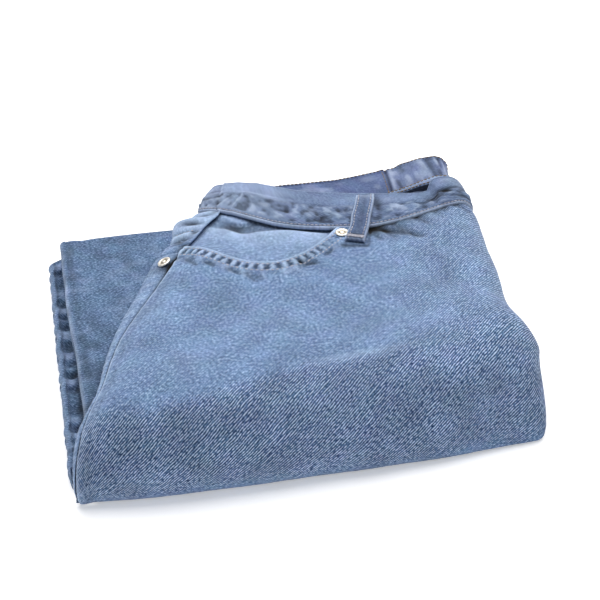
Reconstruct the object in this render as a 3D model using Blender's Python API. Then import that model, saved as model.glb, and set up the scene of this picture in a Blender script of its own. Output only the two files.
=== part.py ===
# Folded tapered jeans, right half on top, lying flat on a surface.
# All tables are in millimetres; the meshes are made in metres with +Z up.
import bpy
import bmesh
import numpy as np
from mathutils import Vector
from math import radians

MM = 0.001

# Driving dimensions
CLOTH_WALL = 1.8          # thickness of one cloth layer as a solid
SEAM_GAP = 0.4            # air between neighbouring pieces
FACING_WALL = 1.3         # thickness of the pocket facing
BAND_WALL = 2.8           # doubled waistband
LOOP_WIDTH = 12.0         # belt loop
LOOP_WALL = 1.6
RIVET_DIAMETER = 9.0
ROLL_ANGLE = 104.0        # how far the top layer curls round the right fold
UPPER_LEG_TOP = 32.4      # height of the upper leg layer
UPPER_LEG_BASE = 16.9
LOWER_LEG_TOP = 15.9
CENTRE_X = -20.1          # middle of the folded bundle in the table frame
CENTRE_Y = -51.1

for old in list(bpy.data.objects):
    bpy.data.objects.remove(old, do_unlink=True)

# Stations of the top layer, from the waistband seam over the front fold to the floor.
# xs ys zs: side seam; xf yf: right fold; crown: height; bow: curve in plan; power: its shape;
# rs: width of the slope at the side seam; rr and deep: width and depth of the right-hand roll.
TOP_COLUMNS = ("xs", "ys", "zs", "xf", "yf", "crown", "bow", "power", "rs", "rr", "deep")
TOP_ROWS = np.array([
    (-36.0, 30.6, 54.5, 117.0, 13.5, 56.0, -29.0, 2.0, 20, 16, 11),
    (-60.0, 12.0, 51.8, 118.0, 2.0, 56.5, -21.0, 2.0, 25, 18, 14),
    (-75.0, -2.5, 50.0, 117.0, -11.0, 57.0, -14.0, 2.0, 26, 20, 17),
    (-84.0, -17.0, 48.5, 115.5, -28.0, 57.5, -9.0, 2.0, 27, 22, 18),
    (-93.5, -33.0, 47.5, 114.5, -45.0, 57.5, -6.0, 2.1, 28, 23, 19),
    (-106.0, -53.0, 46.5, 113.0, -62.0, 57.5, -4.0, 2.2, 28, 24, 20),
    (-118.5, -75.0, 46.5, 111.5, -80.0, 57.5, -3.0, 2.3, 28, 25, 22),
    (-127.5, -97.0, 46.5, 115.0, -97.0, 57.5, -2.0, 2.4, 27, 27, 24),
    (-134.5, -119.5, 46.5, 119.5, -110.0, 58.0, -2.5, 2.5, 25, 28, 26),
    (-142.0, -136.0, 45.5, 119.5, -122.0, 57.0, -6.0, 2.8, 20, 28, 24),
    (-147.5, -147.0, 42.0, 118.0, -133.0, 52.5, -12.0, 3.0, 14, 26, 20),
    (-150.5, -155.5, 35.0, 116.0, -143.0, 43.5, -14.5, 3.0, 10, 24, 16),
    (-152.5, -161.5, 26.0, 114.0, -150.0, 31.5, -14.5, 3.0, 8, 22, 14),
    (-153.0, -164.5, 16.5, 112.0, -155.0, 19.0, -13.0, 3.0, 8, 20, 12),
    (-152.5, -163.5, 7.5, 111.0, -157.5, 8.0, -10.5, 3.0, 8, 18, 10),
    (-151.5, -160.5, 2.0, 109.5, -156.5, 1.6, -8.0, 3.0, 8, 16, 8),
])

# Left-most line of the cloth beyond the side seam, at the same stations.
EDGE_COLUMNS = ("x", "y", "z")
EDGE_ROWS = np.array([
    (-58.0, 44.5, 46.0), (-77.5, 17.0, 44.5), (-87.0, 1.0, 44.0), (-93.5, -14.0, 43.5),
    (-99.5, -30.5, 43.0), (-110.5, -51.5, 43.0), (-122.0, -73.5, 43.0), (-130.7, -96.0, 43.0),
    (-137.5, -119.0, 43.0), (-145.0, -135.0, 42.0), (-150.5, -145.5, 39.0),
    (-153.5, -153.5, 33.5), (-155.3, -158.5, 25.5), (-156.0, -161.0, 16.5),
    (-155.5, -160.0, 8.5), (-154.3, -157.5, 3.0),
])

# Pocket opening, from the side seam down and up to the waistband seam.
OPENING = [(-74.0, -4.0), (-67.4, -9.0), (-56.8, -20.5), (-40.6, -33.5), (-23.0, -38.5),
           (-7.3, -36.0), (6.6, -28.5), (16.0, -20.0), (21.5, -12.0), (24.5, -3.6)]

# Direction across the waistband at stations along its seam.
BAND_COLUMNS = ("u", "dx", "dy", "dz")
BAND_ROWS = np.array([
    (-1.0, 14.0, 25.5, 0.0), (-0.35, 15.5, 25.5, 1.5), (0.0, 18.5, 22.0, 2.5),
    (0.146, 16.6, 27.8, 2.0), (0.28, 12.4, 33.5, 1.5), (0.38, 8.2, 34.5, 1.5),
    (0.543, 3.0, 32.0, 1.5), (0.70, -2.0, 28.0, 0.5), (0.815, -3.0, 24.5, -1.5),
    (0.845, -2.0, 27.0, 5.0), (0.92, -1.5, 25.0, 5.0), (1.0, -1.0, 21.0, 3.0),
])

# Back waistband, inner face up: lower line and top line.
BACK_COLUMNS = ("x0", "y0", "z0", "x1", "y1", "z1")
BACK_ROWS = np.array([
    (-43.0, 52.0, 44.0, -37.0, 67.0, 46.0), (-33.0, 46.0, 48.5, -25.0, 64.5, 50.0),
    (-12.0, 36.0, 49.8, -4.7, 61.0, 52.0), (12.0, 26.0, 50.0, 15.0, 62.0, 52.5),
    (33.0, 20.0, 49.8, 34.0, 62.6, 53.0), (50.0, 16.0, 49.5, 52.0, 63.0, 53.0),
    (67.0, 14.0, 48.6, 68.8, 63.2, 53.5), (80.0, 15.0, 47.8, 84.0, 65.0, 54.0),
    (92.0, 18.0, 47.5, 94.5, 62.0, 54.5), (101.0, 21.0, 45.5, 104.0, 63.6, 53.5),
    (107.0, 24.0, 41.5, 110.0, 63.0, 50.5), (108.5, 26.0, 37.5, 112.0, 60.0, 46.5),
])


def table_value(rows, column, position):
    """Smooth value of one table column at a fractional row position."""
    last = len(rows) - 1
    position = min(max(position, 0.0), float(last))
    i = min(int(position), last - 1)
    t = position - i
    pts = [rows[min(max(k, 0), last)][column] for k in (i - 1, i, i + 1, i + 2)]
    a = 2 * pts[1]
    b = pts[2] - pts[0]
    c = 2 * pts[0] - 5 * pts[1] + 4 * pts[2] - pts[3]
    d = -pts[0] + 3 * pts[1] - 3 * pts[2] + pts[3]
    return 0.5 * (a + b * t + c * t * t + d * t * t * t)


def smooth_line(points, t):
    """Point at fraction t of a smooth line through the given points."""
    rows = np.array(points, dtype=float)
    pos = t * (len(rows) - 1)
    return np.array([table_value(rows, k, pos) for k in range(rows.shape[1])])


def plain_section(u, v):
    """Top layer without the right-hand roll."""
    row = {name: table_value(TOP_ROWS, k, v) for k, name in enumerate(TOP_COLUMNS)}
    span = np.hypot(row["xf"] - row["xs"], row["yf"] - row["ys"])
    uc = min(max(u, 0.0), 1.0)
    curve = (1 - abs(2 * uc - 1) ** row["power"]) * (1.15 - 0.5 * uc)
    x = row["xs"] + (row["xf"] - row["xs"]) * u
    y = row["ys"] + (row["yf"] - row["ys"]) * u + row["bow"] * curve
    side = max(0.0, 1 - u * span / row["rs"])
    z = row["crown"] - (row["crown"] - row["zs"]) * side ** 2
    return np.array([x, y, z]), row, span


def middle_normal(v):
    """Outward direction of the top layer at its middle."""
    a = plain_section(0.5, max(v - 0.15, 0.0))[0]
    b = plain_section(0.5, min(v + 0.15, 15.0))[0]
    along = b - a
    normal = np.array([0.0, along[2], -along[1]])
    return normal / np.linalg.norm(normal)


def top_point(u, v):
    """Outer surface of the folded top layer; u runs from side seam to right fold."""
    point, row, span = plain_section(u, v)
    left = (1 - u) * span
    if left >= row["rr"]:
        return point
    start = plain_section(1 - row["rr"] / span, v)[0]
    across = plain_section(1.0, v)[0] - start
    across[2] = 0.0
    across /= np.linalg.norm(across)
    angle = radians(ROLL_ANGLE) * (1 - left / row["rr"])
    out = row["rr"] * np.sin(angle)
    down = row["deep"] * (1 - np.cos(angle))
    return start + across * out - middle_normal(v) * down


def edge_point(w, v):
    """Cloth beyond the side seam: over the left edge and in beneath it."""
    seam = top_point(0.0, v)
    edge = np.array([table_value(EDGE_ROWS, k, v) for k in range(3)])
    out = middle_normal(v)
    inward = top_point(0.03, v) - seam
    inward[2] = 0.0
    inward /= np.linalg.norm(inward)
    pts = [seam, seam * 0.5 + edge * 0.5 + out * 1.3, edge, edge - out * 2.8 + inward * 0.5,
           edge - out * 5.0 + inward * 2.6]
    return smooth_line(pts, w)


def surface_normal(fn, a, b, step=0.01):
    """Outward normal of a point function of two parameters."""
    da = fn(a + step, b) - fn(a - step, b)
    db = fn(a, b + step * 6) - fn(a, b - step * 6)
    n = np.cross(db, da)
    length = np.linalg.norm(n)
    return n / length if length > 1e-9 else np.array([0.0, 0.0, 1.0])


def offset_point(fn, a, b, distance):
    return fn(a, b) + surface_normal(fn, a, b) * distance


def find_uv(x, y):
    """Parameters of the top layer above a point in plan."""
    best = (0.3, 1.0)
    near = 1e9
    for i in range(31):
        for j in range(46):
            p = plain_section(i / 30, j * 0.2)[0]
            d = (p[0] - x) ** 2 + (p[1] - y) ** 2
            if d < near:
                near, best = d, (i / 30, j * 0.2)
    u, v = best
    for _ in range(12):
        p = plain_section(u, v)[0]
        pu = (plain_section(u + 1e-3, v)[0] - p) / 1e-3
        pv = (plain_section(u, v + 1e-3)[0] - p) / 1e-3
        m = np.array([[pu[0], pv[0]], [pu[1], pv[1]]])
        step = np.linalg.solve(m, np.array([x - p[0], y - p[1]]))
        u, v = u + step[0] * 0.8, max(v + step[1] * 0.8, 0.0)
    return u, v


def material(name, colour, rough=0.9, metal=0.0):
    mat = bpy.data.materials.new(name)
    mat.use_nodes = True
    shader = mat.node_tree.nodes["Principled BSDF"]
    shader.inputs["Base Color"].default_value = (*colour, 1.0)
    shader.inputs["Roughness"].default_value = rough
    shader.inputs["Metallic"].default_value = metal
    return mat


def finish_mesh(name, verts, faces, mat):
    """Closed mesh object in metres about the middle of the bundle."""
    mesh = bpy.data.meshes.new(name)
    shift = np.array([CENTRE_X, CENTRE_Y, 0.0])
    mesh.from_pydata([tuple((np.array(p) - shift) * MM) for p in verts], [], faces)
    work = bmesh.new()
    work.from_mesh(mesh)
    bmesh.ops.triangulate(work, faces=[f for f in work.faces if len(f.verts) > 4])
    bmesh.ops.recalc_face_normals(work, faces=work.faces[:])
    if work.calc_volume(signed=True) < 0:
        bmesh.ops.reverse_faces(work, faces=work.faces[:])
    work.to_mesh(mesh)
    work.free()
    obj = bpy.data.objects.new(name, mesh)
    bpy.context.collection.objects.link(obj)
    mesh.materials.append(mat)
    return obj


def sheet_solid(name, outer, inner, mat):
    """Closed solid between two grids of the same size."""
    n, m = len(outer), len(outer[0])
    verts = [p for row in outer for p in row] + [p for row in inner for p in row]
    top = lambda i, j: i * m + j
    low = lambda i, j: n * m + i * m + j
    faces = []
    for i in range(n - 1):
        for j in range(m - 1):
            faces.append((top(i, j), top(i + 1, j), top(i + 1, j + 1), top(i, j + 1)))
            faces.append((low(i, j), low(i, j + 1), low(i + 1, j + 1), low(i + 1, j)))
    rim = [(i, 0) for i in range(n)] + [(n - 1, j) for j in range(1, m)]
    rim += [(i, m - 1) for i in range(n - 2, -1, -1)] + [(0, j) for j in range(m - 2, 0, -1)]
    for k, a in enumerate(rim):
        b = rim[(k + 1) % len(rim)]
        faces.append((top(*a), low(*a), low(*b), top(*b)))
    return finish_mesh(name, verts, faces, mat)


def loft_solid(name, sections, mat):
    """Closed solid through closed sections with equal point counts."""
    k = len(sections[0])
    verts = [p for section in sections for p in section]
    faces = []
    for s in range(len(sections) - 1):
        for i in range(k):
            j = (i + 1) % k
            faces.append((s * k + i, s * k + j, (s + 1) * k + j, (s + 1) * k + i))
    for s in (0, len(sections) - 1):
        verts.append(np.mean(sections[s], axis=0))
        for i in range(k):
            faces.append((s * k + i, s * k + (i + 1) % k, len(verts) - 1))
    return finish_mesh(name, verts, faces, mat)


denim = material("denim_blue", (0.10, 0.19, 0.36))
denim_dark = material("denim_hidden", (0.06, 0.12, 0.25))
denim_band = material("denim_band", (0.11, 0.20, 0.38))
brass = material("brass_rivet", (0.75, 0.66, 0.45), 0.35, 1.0)

# Front panel of the right half: top boundary follows the pocket opening and the waistband seam.
opening_uv = [find_uv(x, y) for x, y in OPENING]
opening_uv[0] = (0.0, opening_uv[0][1])
opening_uv[-1] = (opening_uv[-1][0], 0.0)
opening_end = opening_uv[-1][0]


def panel_start(s):
    """Point of the upper boundary of the front panel at fraction s."""
    if s < 0.45:
        return smooth_line(opening_uv, s / 0.45)
    return np.array([opening_end + (1 - opening_end) * (s - 0.45) / 0.55, 0.0])


PANEL_COLUMNS = 37
PANEL_ROWS = 38
row_steps = []
for j in range(PANEL_ROWS):
    row_steps.append(j / (PANEL_ROWS - 1))
outer, inner = [], []
for i in range(PANEL_COLUMNS):
    s = i / (PANEL_COLUMNS - 1)
    start = panel_start(s)
    end_u = s ** 1.12 if s < 0.8 else 1 - (1 - s) * (1 - 0.8 ** 1.12) / 0.2
    outer_row, inner_row = [], []
    for t in row_steps:
        v = start[1] + (15.0 - start[1]) * t
        blend = min(1.0, (v - start[1]) / 6.0)
        u = start[0] + (end_u - start[0]) * blend * blend * (3 - 2 * blend)
        u = min(max(u, 0.002), 1.0)
        away = (v - start[1]) * 12.0
        lift = 0.5 * max(0.0, 1 - away / 12.0) if s < 0.45 else 0.0
        p = offset_point(top_point, u, v, lift)
        q = offset_point(top_point, u, v, -CLOTH_WALL)
        p[2], q[2] = max(p[2], 0.6), max(q[2], 0.9)
        outer_row.append(p)
        inner_row.append(q)
    outer.append(outer_row)
    inner.append(inner_row)
sheet_solid("front_panel_right", outer, inner, denim)

# Back cloth beyond the side seam: yoke above, panel strip below.
YOKE_END = 1.95
for name, v0, v1, count, lift in (("back_yoke_right", 0.02, YOKE_END, 9, 0.7),
                                  ("back_panel_right", YOKE_END + 0.05, 15.0, 40, 0.0)):
    outer, inner = [], []
    for j in range(count):
        v = v0 + (v1 - v0) * j / (count - 1)
        outer_row, inner_row = [], []
        for i in range(9):
            w = 0.0 + i / 8
            near = 1.0 if i > 0 else 0.0
            p = offset_point(edge_point, w + 0.012, v, lift * near)
            q = offset_point(edge_point, w + 0.012, v, -CLOTH_WALL + 0.2)
            shift = top_point(0.0, v) - top_point(0.02, v)
            shift[2] = 0.0
            shift *= (SEAM_GAP + 0.15) / np.linalg.norm(shift)
            p, q = p + shift, q + shift
            p[2], q[2] = max(p[2], 0.6), max(q[2], 0.9)
            outer_row.append(p)
            inner_row.append(q)
        outer.append(outer_row)
        inner.append(inner_row)
    sheet_solid(name, outer, inner, denim)

# Pocket facing beneath the opening, sunk a little in its middle.
outer, inner = [], []
opening_array = np.array([panel_start(0.45 * k / 60) for k in range(61)])
for i in range(19):
    u = 0.006 + (opening_end + 0.035 - 0.006) * i / 18
    v_open = float(np.interp(u, opening_array[:, 0], opening_array[:, 1]))
    v_end = max(v_open + 0.42, 0.55)
    outer_row, inner_row = [], []
    for j in range(11):
        t = j / 10
        v = 0.05 + (v_end - 0.05) * t
        sink = 1.3 * np.sin(np.pi * min(t * 1.05, 1.0)) * np.sin(np.pi * i / 18)
        depth = CLOTH_WALL + SEAM_GAP + sink
        outer_row.append(offset_point(top_point, u, v, -depth))
        inner_row.append(offset_point(top_point, u, v, -depth - FACING_WALL))
    outer.append(outer_row)
    inner.append(inner_row)
sheet_solid("pocket_facing_right", outer, inner, denim)


def band_base(s):
    """Line of the waistband seam: side part below 0, front part from 0 to 1."""
    if s < 0:
        return edge_point(min(-s, 1.0), 0.0)
    return top_point(s, 0.0)


def band_point(s, t):
    """Outer surface of the front waistband."""
    base = band_base(s)
    pos = float(np.interp(s, BAND_ROWS[:, 0], np.arange(len(BAND_ROWS))))
    d = np.array([table_value(BAND_ROWS, k, pos) for k in (1, 2, 3)])
    e = 0.004
    tangent = band_base(min(s + e, 1.0)) - band_base(max(s - e, -1.0))
    up = np.cross(tangent, d)
    up /= np.linalg.norm(up)
    bulge = 1.2 * np.sin(np.pi * t) + 0.9 * min(1.0, t * 6)
    gap = d / np.linalg.norm(d) * 0.7
    return base + gap + d * t + up * bulge, up


BAND_STEPS = [-1.0, -0.85, -0.7, -0.55, -0.42, -0.3, -0.2, -0.1, 0.0, 0.03, 0.07, 0.12, 0.18, 0.24, 0.3,
              0.36, 0.42, 0.48, 0.54, 0.6, 0.66, 0.72, 0.77, 0.805, 0.82, 0.835, 0.85, 0.87,
              0.89, 0.905, 0.92, 0.935, 0.95, 0.965, 0.98, 1.0]
outer, inner = [], []
for s in BAND_STEPS:
    outer_row, inner_row = [], []
    for j in range(8):
        p, up = band_point(s, j / 7)
        outer_row.append(p)
        inner_row.append(p - up * BAND_WALL)
    outer.append(outer_row)
    inner.append(inner_row)
sheet_solid("waistband_front", outer, inner, denim_band)

outer, inner = [], []
for i in range(30):
    pos = i / 29 * (len(BACK_ROWS) - 1)
    low = np.array([table_value(BACK_ROWS, k, pos) for k in (0, 1, 2)])
    high = np.array([table_value(BACK_ROWS, k, pos) for k in (3, 4, 5)])
    nxt = np.array([table_value(BACK_ROWS, k, min(pos + 0.1, 11)) for k in (3, 4, 5)])
    prv = np.array([table_value(BACK_ROWS, k, max(pos - 0.1, 0)) for k in (3, 4, 5)])
    up = np.cross(nxt - prv, high - low)
    up /= np.linalg.norm(up)
    outer_row, inner_row = [], []
    for j in range(7):
        p = low + (high - low) * j / 6 + up * 0.8 * np.sin(np.pi * j / 6)
        outer_row.append(p)
        inner_row.append(p - up * (BAND_WALL - 0.4))
    outer.append(outer_row)
    inner.append(inner_row)
sheet_solid("waistband_back", outer, inner, denim_band)

# Belt loop over the front waistband and onto the panel.
loop_path = []
for t in (1.0, 0.93, 0.8, 0.6, 0.4, 0.2, 0.02):
    p, up = band_point(0.535 - 0.072 * (1 - t), t)
    lift = 0.5 + (1.9 if 0.05 < t < 0.97 else 0.4)
    loop_path.append((p + up * lift, up))
for x, y in ((35.2, -11.0), (34.0, -17.0), (32.6, -23.4)):
    u, v = find_uv(x, y)
    n = surface_normal(top_point, u, v)
    loop_path.append((top_point(u, v) + n * 1.1, n))
outer, inner = [], []
centres = np.array([p for p, _ in loop_path])
ups = np.array([n for _, n in loop_path])
for k in range(19):
    t = k / 18
    p = smooth_line(centres, t)
    n = smooth_line(ups, t)
    n /= np.linalg.norm(n)
    forward = smooth_line(centres, min(t + 0.03, 1)) - smooth_line(centres, max(t - 0.03, 0))
    side = np.cross(forward, n)
    side /= np.linalg.norm(side)
    outer.append([p + side * LOOP_WIDTH * (j / 4 - 0.5) + n * LOOP_WALL for j in range(5)])
    inner.append([p + side * LOOP_WIDTH * (j / 4 - 0.5) for j in range(5)])
sheet_solid("belt_loop_front", outer, inner, denim_band)

# Hidden layers of the hips: one rounded solid, stepped at its edges.
CORE_DEPTH = CLOTH_WALL + 1.0
CORE_DEPTH_AT_FACING = CLOTH_WALL + FACING_WALL + 3 * SEAM_GAP + 0.95
CORE_BASE = 33.1
sections = []
core_u = [0.012, 0.03, 0.06, 0.1, 0.16, 0.24, 0.32, 0.4, 0.48, 0.56, 0.64, 0.72, 0.79, 0.85, 0.9]
for i, u in enumerate(core_u):
    end = 0.55 if i in (0, len(core_u) - 1) else 1.0
    line = []
    for k in range(13):
        v = 8.5 - 8.3 * k / 12
        depth = CORE_DEPTH_AT_FACING if v < 4.2 and u < 0.56 else CORE_DEPTH
        line.append(offset_point(top_point, u, v, -depth - (1.2 if u > 0.78 else 0.0)))
    seam = band_base(u)
    d = np.array([np.interp(u, BAND_ROWS[:, 0], BAND_ROWS[:, k]) for k in (1, 2)])
    far_y = 57.5 - 6 * (abs(u - 0.5) * 2) ** 3
    far_x = seam[0] + d[0] * (far_y - seam[1]) / max(d[1], 15.0)
    top_z = 45.5 if u < 0.7 else 45.5 - 14 * (u - 0.7)
    steps = ((0.12, top_z + 0.6), (0.4, top_z), (0.75, top_z), (0.97, top_z - 0.3))
    for f, z in steps:
        line.append(np.array([seam[0] + (far_x - seam[0]) * f, seam[1] + (far_y - seam[1]) * f, z]))
    for back, z in ((0.0, 43.2), (-0.6, 41.4), (-2.6, 40.2), (-0.4, 39.2), (0.3, 37.6),
                    (-0.4, 36.2), (-2.6, 35.4), (-0.6, 34.6), (-3.0, CORE_BASE)):
        line.append(np.array([far_x, far_y + back, min(z, top_z - 0.2 + 0.1 * back)]))
    for f in (0.75, 0.5, 0.25, 0.0):
        y = -127.5 + (far_y - 3.0 + 127.5) * f
        x = line[0][0] + (far_x - line[0][0]) * f
        line.append(np.array([x, y, CORE_BASE]))
    line.append(np.array([line[0][0], -129.6, CORE_BASE + 2.0]))
    line.append(np.array([line[0][0], -129.8, line[0][2] - 3.0]))
    pts = np.array(line)
    pts[:, 1] = np.maximum(pts[:, 1], -129.9)
    if end < 1.0:
        mid = pts.mean(axis=0)
        pts[:, 2] = CORE_BASE + 0.5 + (pts[:, 2] - CORE_BASE) * end
        pts[:, 1] = mid[1] + (pts[:, 1] - mid[1]) * 0.975
    sections.append(pts)
loft_solid("hidden_hip_layers", sections, denim_dark)

# Hidden layers inside the front fold.
sections = []
fold_u = [0.028, 0.04, 0.1, 0.2, 0.3, 0.4, 0.5, 0.6, 0.7, 0.8, 0.85, 0.9, 0.93, 0.95]
for i, u in enumerate(fold_u):
    line = []
    for k in range(14):
        v = 9.05 + 5.2 * k / 13
        line.append(offset_point(top_point, u, v, -CLOTH_WALL - SEAM_GAP - (2.6 if u > 0.82 else 0.9)))
    tail = line[-1]
    for y, z in ((tail[1] + 6.5, 0.0), (-148.0, 0.0), (-135.0, 0.0), (-131.4, 1.5), (-130.9, 16.0),
                 (-130.9, 32.0), (-130.9, line[0][2] - 5.0)):
        line.append(np.array([line[0][0] if z > 20 else tail[0], y, z]))
    pts = np.array(line)
    pts[:, 1] = np.minimum(pts[:, 1], -131.0)
    pts[:, 2] = np.maximum(pts[:, 2], 0.0)
    if i in (0, len(fold_u) - 1):
        pts[:, 1] = -146 + (pts[:, 1] + 146) * 0.88
        pts[:, 2] = 26 + (pts[:, 2] - 26) * 0.88
    sections.append(pts)
loft_solid("hidden_fold_layers", sections, denim_dark)


def leg_section(y, left, right, low, high, swell):
    """Rounded stack of two cloth layers seen from its end."""
    h = high - low
    side = ((2.6, 1.0), (0.9, 0.93), (0.1, 0.8), (0.5, 0.64), (1.9, 0.55), (0.7, 0.45), (0.0, 0.3),
            (0.5, 0.14))
    width = right - left
    k = min(1.0, width / 9)
    near, away = left + 2.6 * k, right - 2.6 * k
    pts = [(left + dx * k, low + h * f) for dx, f in side]
    pts.append((near, low))
    pts += [(near + (away - near) * f, low) for f in (0.2, 0.4, 0.6, 0.8)]
    pts.append((away, low))
    pts += [(right - dx * k, low + h * f) for dx, f in side[::-1]]
    for f in (0.85, 0.65, 0.45, 0.25, 0.12, 0.05):
        x = near + (away - near) * f
        pts.append((x, high + (swell(x, y) if width > 20 else 0.0)))
    return np.array([(x, y, z) for x, z in pts])


# Upper leg layer.
sections = []
upper_y = [-128.6, -126.5, -110, -90, -70, -50, -30, -10, 10, 26, 38, 45, 47.6, 48.6]
for i, y in enumerate(upper_y):
    f = (y + 128.6) / 177.2
    left = -149.4 + 1.2 * f + 0.5 * np.sin(y * 0.11)
    low, high = UPPER_LEG_BASE, UPPER_LEG_TOP
    if i in (0, len(upper_y) - 1):
        low, high, left = low + 3.0, high - 3.2, left + 3.0
    elif i == len(upper_y) - 2:
        low, high, left = low + 0.4, high - 0.9, left + 1.0
    swell = lambda x, yy: -0.35 + 0.3 * np.sin(x * 0.06 + yy * 0.03)
    sections.append(leg_section(y, left, 109.0 - 2 * f, low, high, swell))
loft_solid("upper_leg_layers", sections, denim_dark)

# Lower leg layer with its puckered outer strip.
sections = []
lower_y = [-156.0, -154.5, -148.4, -147.6, -139.0, -130.6, -130.3]
lower_y += [-130.3 + 5.9 * k for k in range(1, 30)] + [44.0, 47.5, 50.4, 51.4]
for i, y in enumerate(lower_y):
    f = (y + 156.0) / 207.4
    left = -158.7 + 1.6 * f + 0.6 * np.sin(y * 0.42)
    low, high = 0.0, LOWER_LEG_TOP - 1.6 + 0.9 * np.sin(y * 0.42 + 0.8)
    if y < -130.5:
        high = 12.5
    right = 110.0 if y > -130.5 else (-150.4 if y > -148 else -157.2)
    if i in (0, len(lower_y) - 1):
        low, high, left = 0.0, high - 4.0, left + 0.8
    sections.append(leg_section(y, left, right, low, high, lambda x, yy: 0.0))
loft_solid("lower_leg_layers", sections, denim_dark)

# Rivets: one at the upper end of the opening, one at the side seam.
for name, x, y, where in (("rivet_upper", 22.4, -13.6, "top"), ("rivet_lower", -87.5, -7.5, "edge")):
    if where == "top":
        u, v = find_uv(x, y)
        n = surface_normal(top_point, u, v)
        base = top_point(u, v) + n * 1.0
    else:
        n = surface_normal(edge_point, 0.25, 2.55)
        base = edge_point(0.25, 2.55) + n * 1.2
    side = np.cross(n, (0.0, 1.0, 0.0))
    side /= np.linalg.norm(side)
    other = np.cross(n, side)
    rings = []
    for radius, height in ((0.5, 0.0), (1.0, 0.0), (1.0, 0.5), (0.86, 1.05), (0.5, 1.0), (0.3, 1.35)):
        ring = []
        for k in range(20):
            a = 2 * np.pi * k / 20
            r = radius * RIVET_DIAMETER / 2
            ring.append(base + side * r * np.cos(a) + other * r * np.sin(a) + n * height)
        rings.append(np.array(ring))
    loft_solid(name, rings, brass)

low = np.array([1e9] * 3)
high = -low
total = 0
for obj in bpy.data.objects:
    if obj.type == "MESH":
        pts = np.array([v.co for v in obj.data.vertices])
        low, high = np.minimum(low, pts.min(0)), np.maximum(high, pts.max(0))
        tris = sum(len(p.vertices) - 2 for p in obj.data.polygons)
        total += tris
        print(obj.name, tris, np.round(pts.min(0) * 1000, 1), np.round(pts.max(0) * 1000, 1))
print("total", total, "middle", np.round((low + high) * 500, 2), "size", np.round((high - low) * 1000, 1))
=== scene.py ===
# %% [markdown]
# # Folded tapered jeans
# A pair of washed blue jeans, folded lengthwise and then across, lies flat on a white table.
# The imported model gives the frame: rounded solids for each sewn piece. Here every solid is dressed
# with a thin cloth shell on the same form, with its seams, puckers, stitches and denim finish.

# %% Load the frame
import bpy
import numpy as np
from math import radians
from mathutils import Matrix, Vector


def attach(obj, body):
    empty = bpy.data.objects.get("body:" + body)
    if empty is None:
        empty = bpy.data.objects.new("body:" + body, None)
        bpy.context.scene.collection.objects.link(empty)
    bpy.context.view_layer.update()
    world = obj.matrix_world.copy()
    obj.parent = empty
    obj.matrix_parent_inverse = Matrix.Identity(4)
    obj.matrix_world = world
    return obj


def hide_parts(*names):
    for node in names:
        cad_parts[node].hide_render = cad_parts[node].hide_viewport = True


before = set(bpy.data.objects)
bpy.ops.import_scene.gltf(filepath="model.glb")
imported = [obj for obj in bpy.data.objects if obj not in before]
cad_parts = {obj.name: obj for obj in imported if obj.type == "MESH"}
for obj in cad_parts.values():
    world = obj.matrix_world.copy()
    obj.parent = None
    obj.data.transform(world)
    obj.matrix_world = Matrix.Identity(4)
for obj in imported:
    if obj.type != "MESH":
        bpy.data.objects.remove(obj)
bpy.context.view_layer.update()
print("frame nodes:", sorted(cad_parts))

# %% [markdown]
# The tables below are in millimetres, because a sewer thinks in millimetres. One shift and one
# factor bring them into the frame. The random wobble of cloth is made from a few sine waves with
# uneven steps, so it is the same each time the lesson is run.

# %% Units and small curves
MM = 0.001
SHIFT = np.array([20.1, 51.1, 0.0])
LEVEL = np.array([1.0, 1.0, 0.0])      # takes the height out of a direction


def to_frame(points):
    """Millimetres in the tables to metres in the frame."""
    return (np.asarray(points, dtype=float) + SHIFT) * MM


def soft_step(low, high, value):
    t = np.clip((value - low) / (high - low), 0.0, 1.0)
    return t * t * (3 - 2 * t)


def bell(value, middle, width):
    return np.exp(-((value - middle) / width) ** 2)


# %% [markdown]
# A few small tools follow. Patches and soft steps make the wobble of cloth. A smooth curve through
# the rows of a table lets a few measured stations give a whole surface. A spline object could do
# that too, but a function can be asked for any point at once.

# %% Waves, patches and smooth tables
def unit(vectors):
    """The same vectors, one long."""
    return vectors / np.maximum(np.linalg.norm(vectors, axis=-1, keepdims=True), 1e-9)


def floats(*values):
    """Numbers or lists as arrays of one common shape."""
    return np.broadcast_arrays(*(np.asarray(value, dtype=float) for value in values))


def wobble(length, pitch, seed=0.0):
    """Uneven wave from -1 to 1 along a length in millimetres."""
    turn = 2 * np.pi * length / pitch
    main = np.sin(turn + 1.3 * np.sin(turn / 3.7 + seed) + seed)
    return 0.62 * main + 0.38 * np.sin(turn * 0.61 + 2.1 * seed)


PATCH_CELLS = 64


def patchy(x, y, size, seed):
    """Uneven patches from -1 to 1, of a size in millimetres, always the same for a seed."""
    grid = np.random.RandomState(seed).uniform(-1, 1, (PATCH_CELLS, PATCH_CELLS))
    x, y = np.broadcast_arrays(np.asarray(x, dtype=float) / size, np.asarray(y, dtype=float) / size)
    i, j = np.floor(x).astype(int), np.floor(y).astype(int)
    fx, fy = soft_step(0, 1, x - i), soft_step(0, 1, y - j)

    def row(k):
        k = k % PATCH_CELLS
        return grid[i % PATCH_CELLS, k] * (1 - fx) + grid[(i + 1) % PATCH_CELLS, k] * fx

    return row(j) * (1 - fy) + row(j + 1) * fy


def through(a, b, c, d, t):
    """Smooth curve from b to c, which also heeds the points a before and d after them."""
    bend, twist = 2 * a - 5 * b + 4 * c - d, 3 * b - a - 3 * c + d
    return 0.5 * (2 * b + (c - a) * t + bend * t ** 2 + twist * t ** 3)


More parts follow.
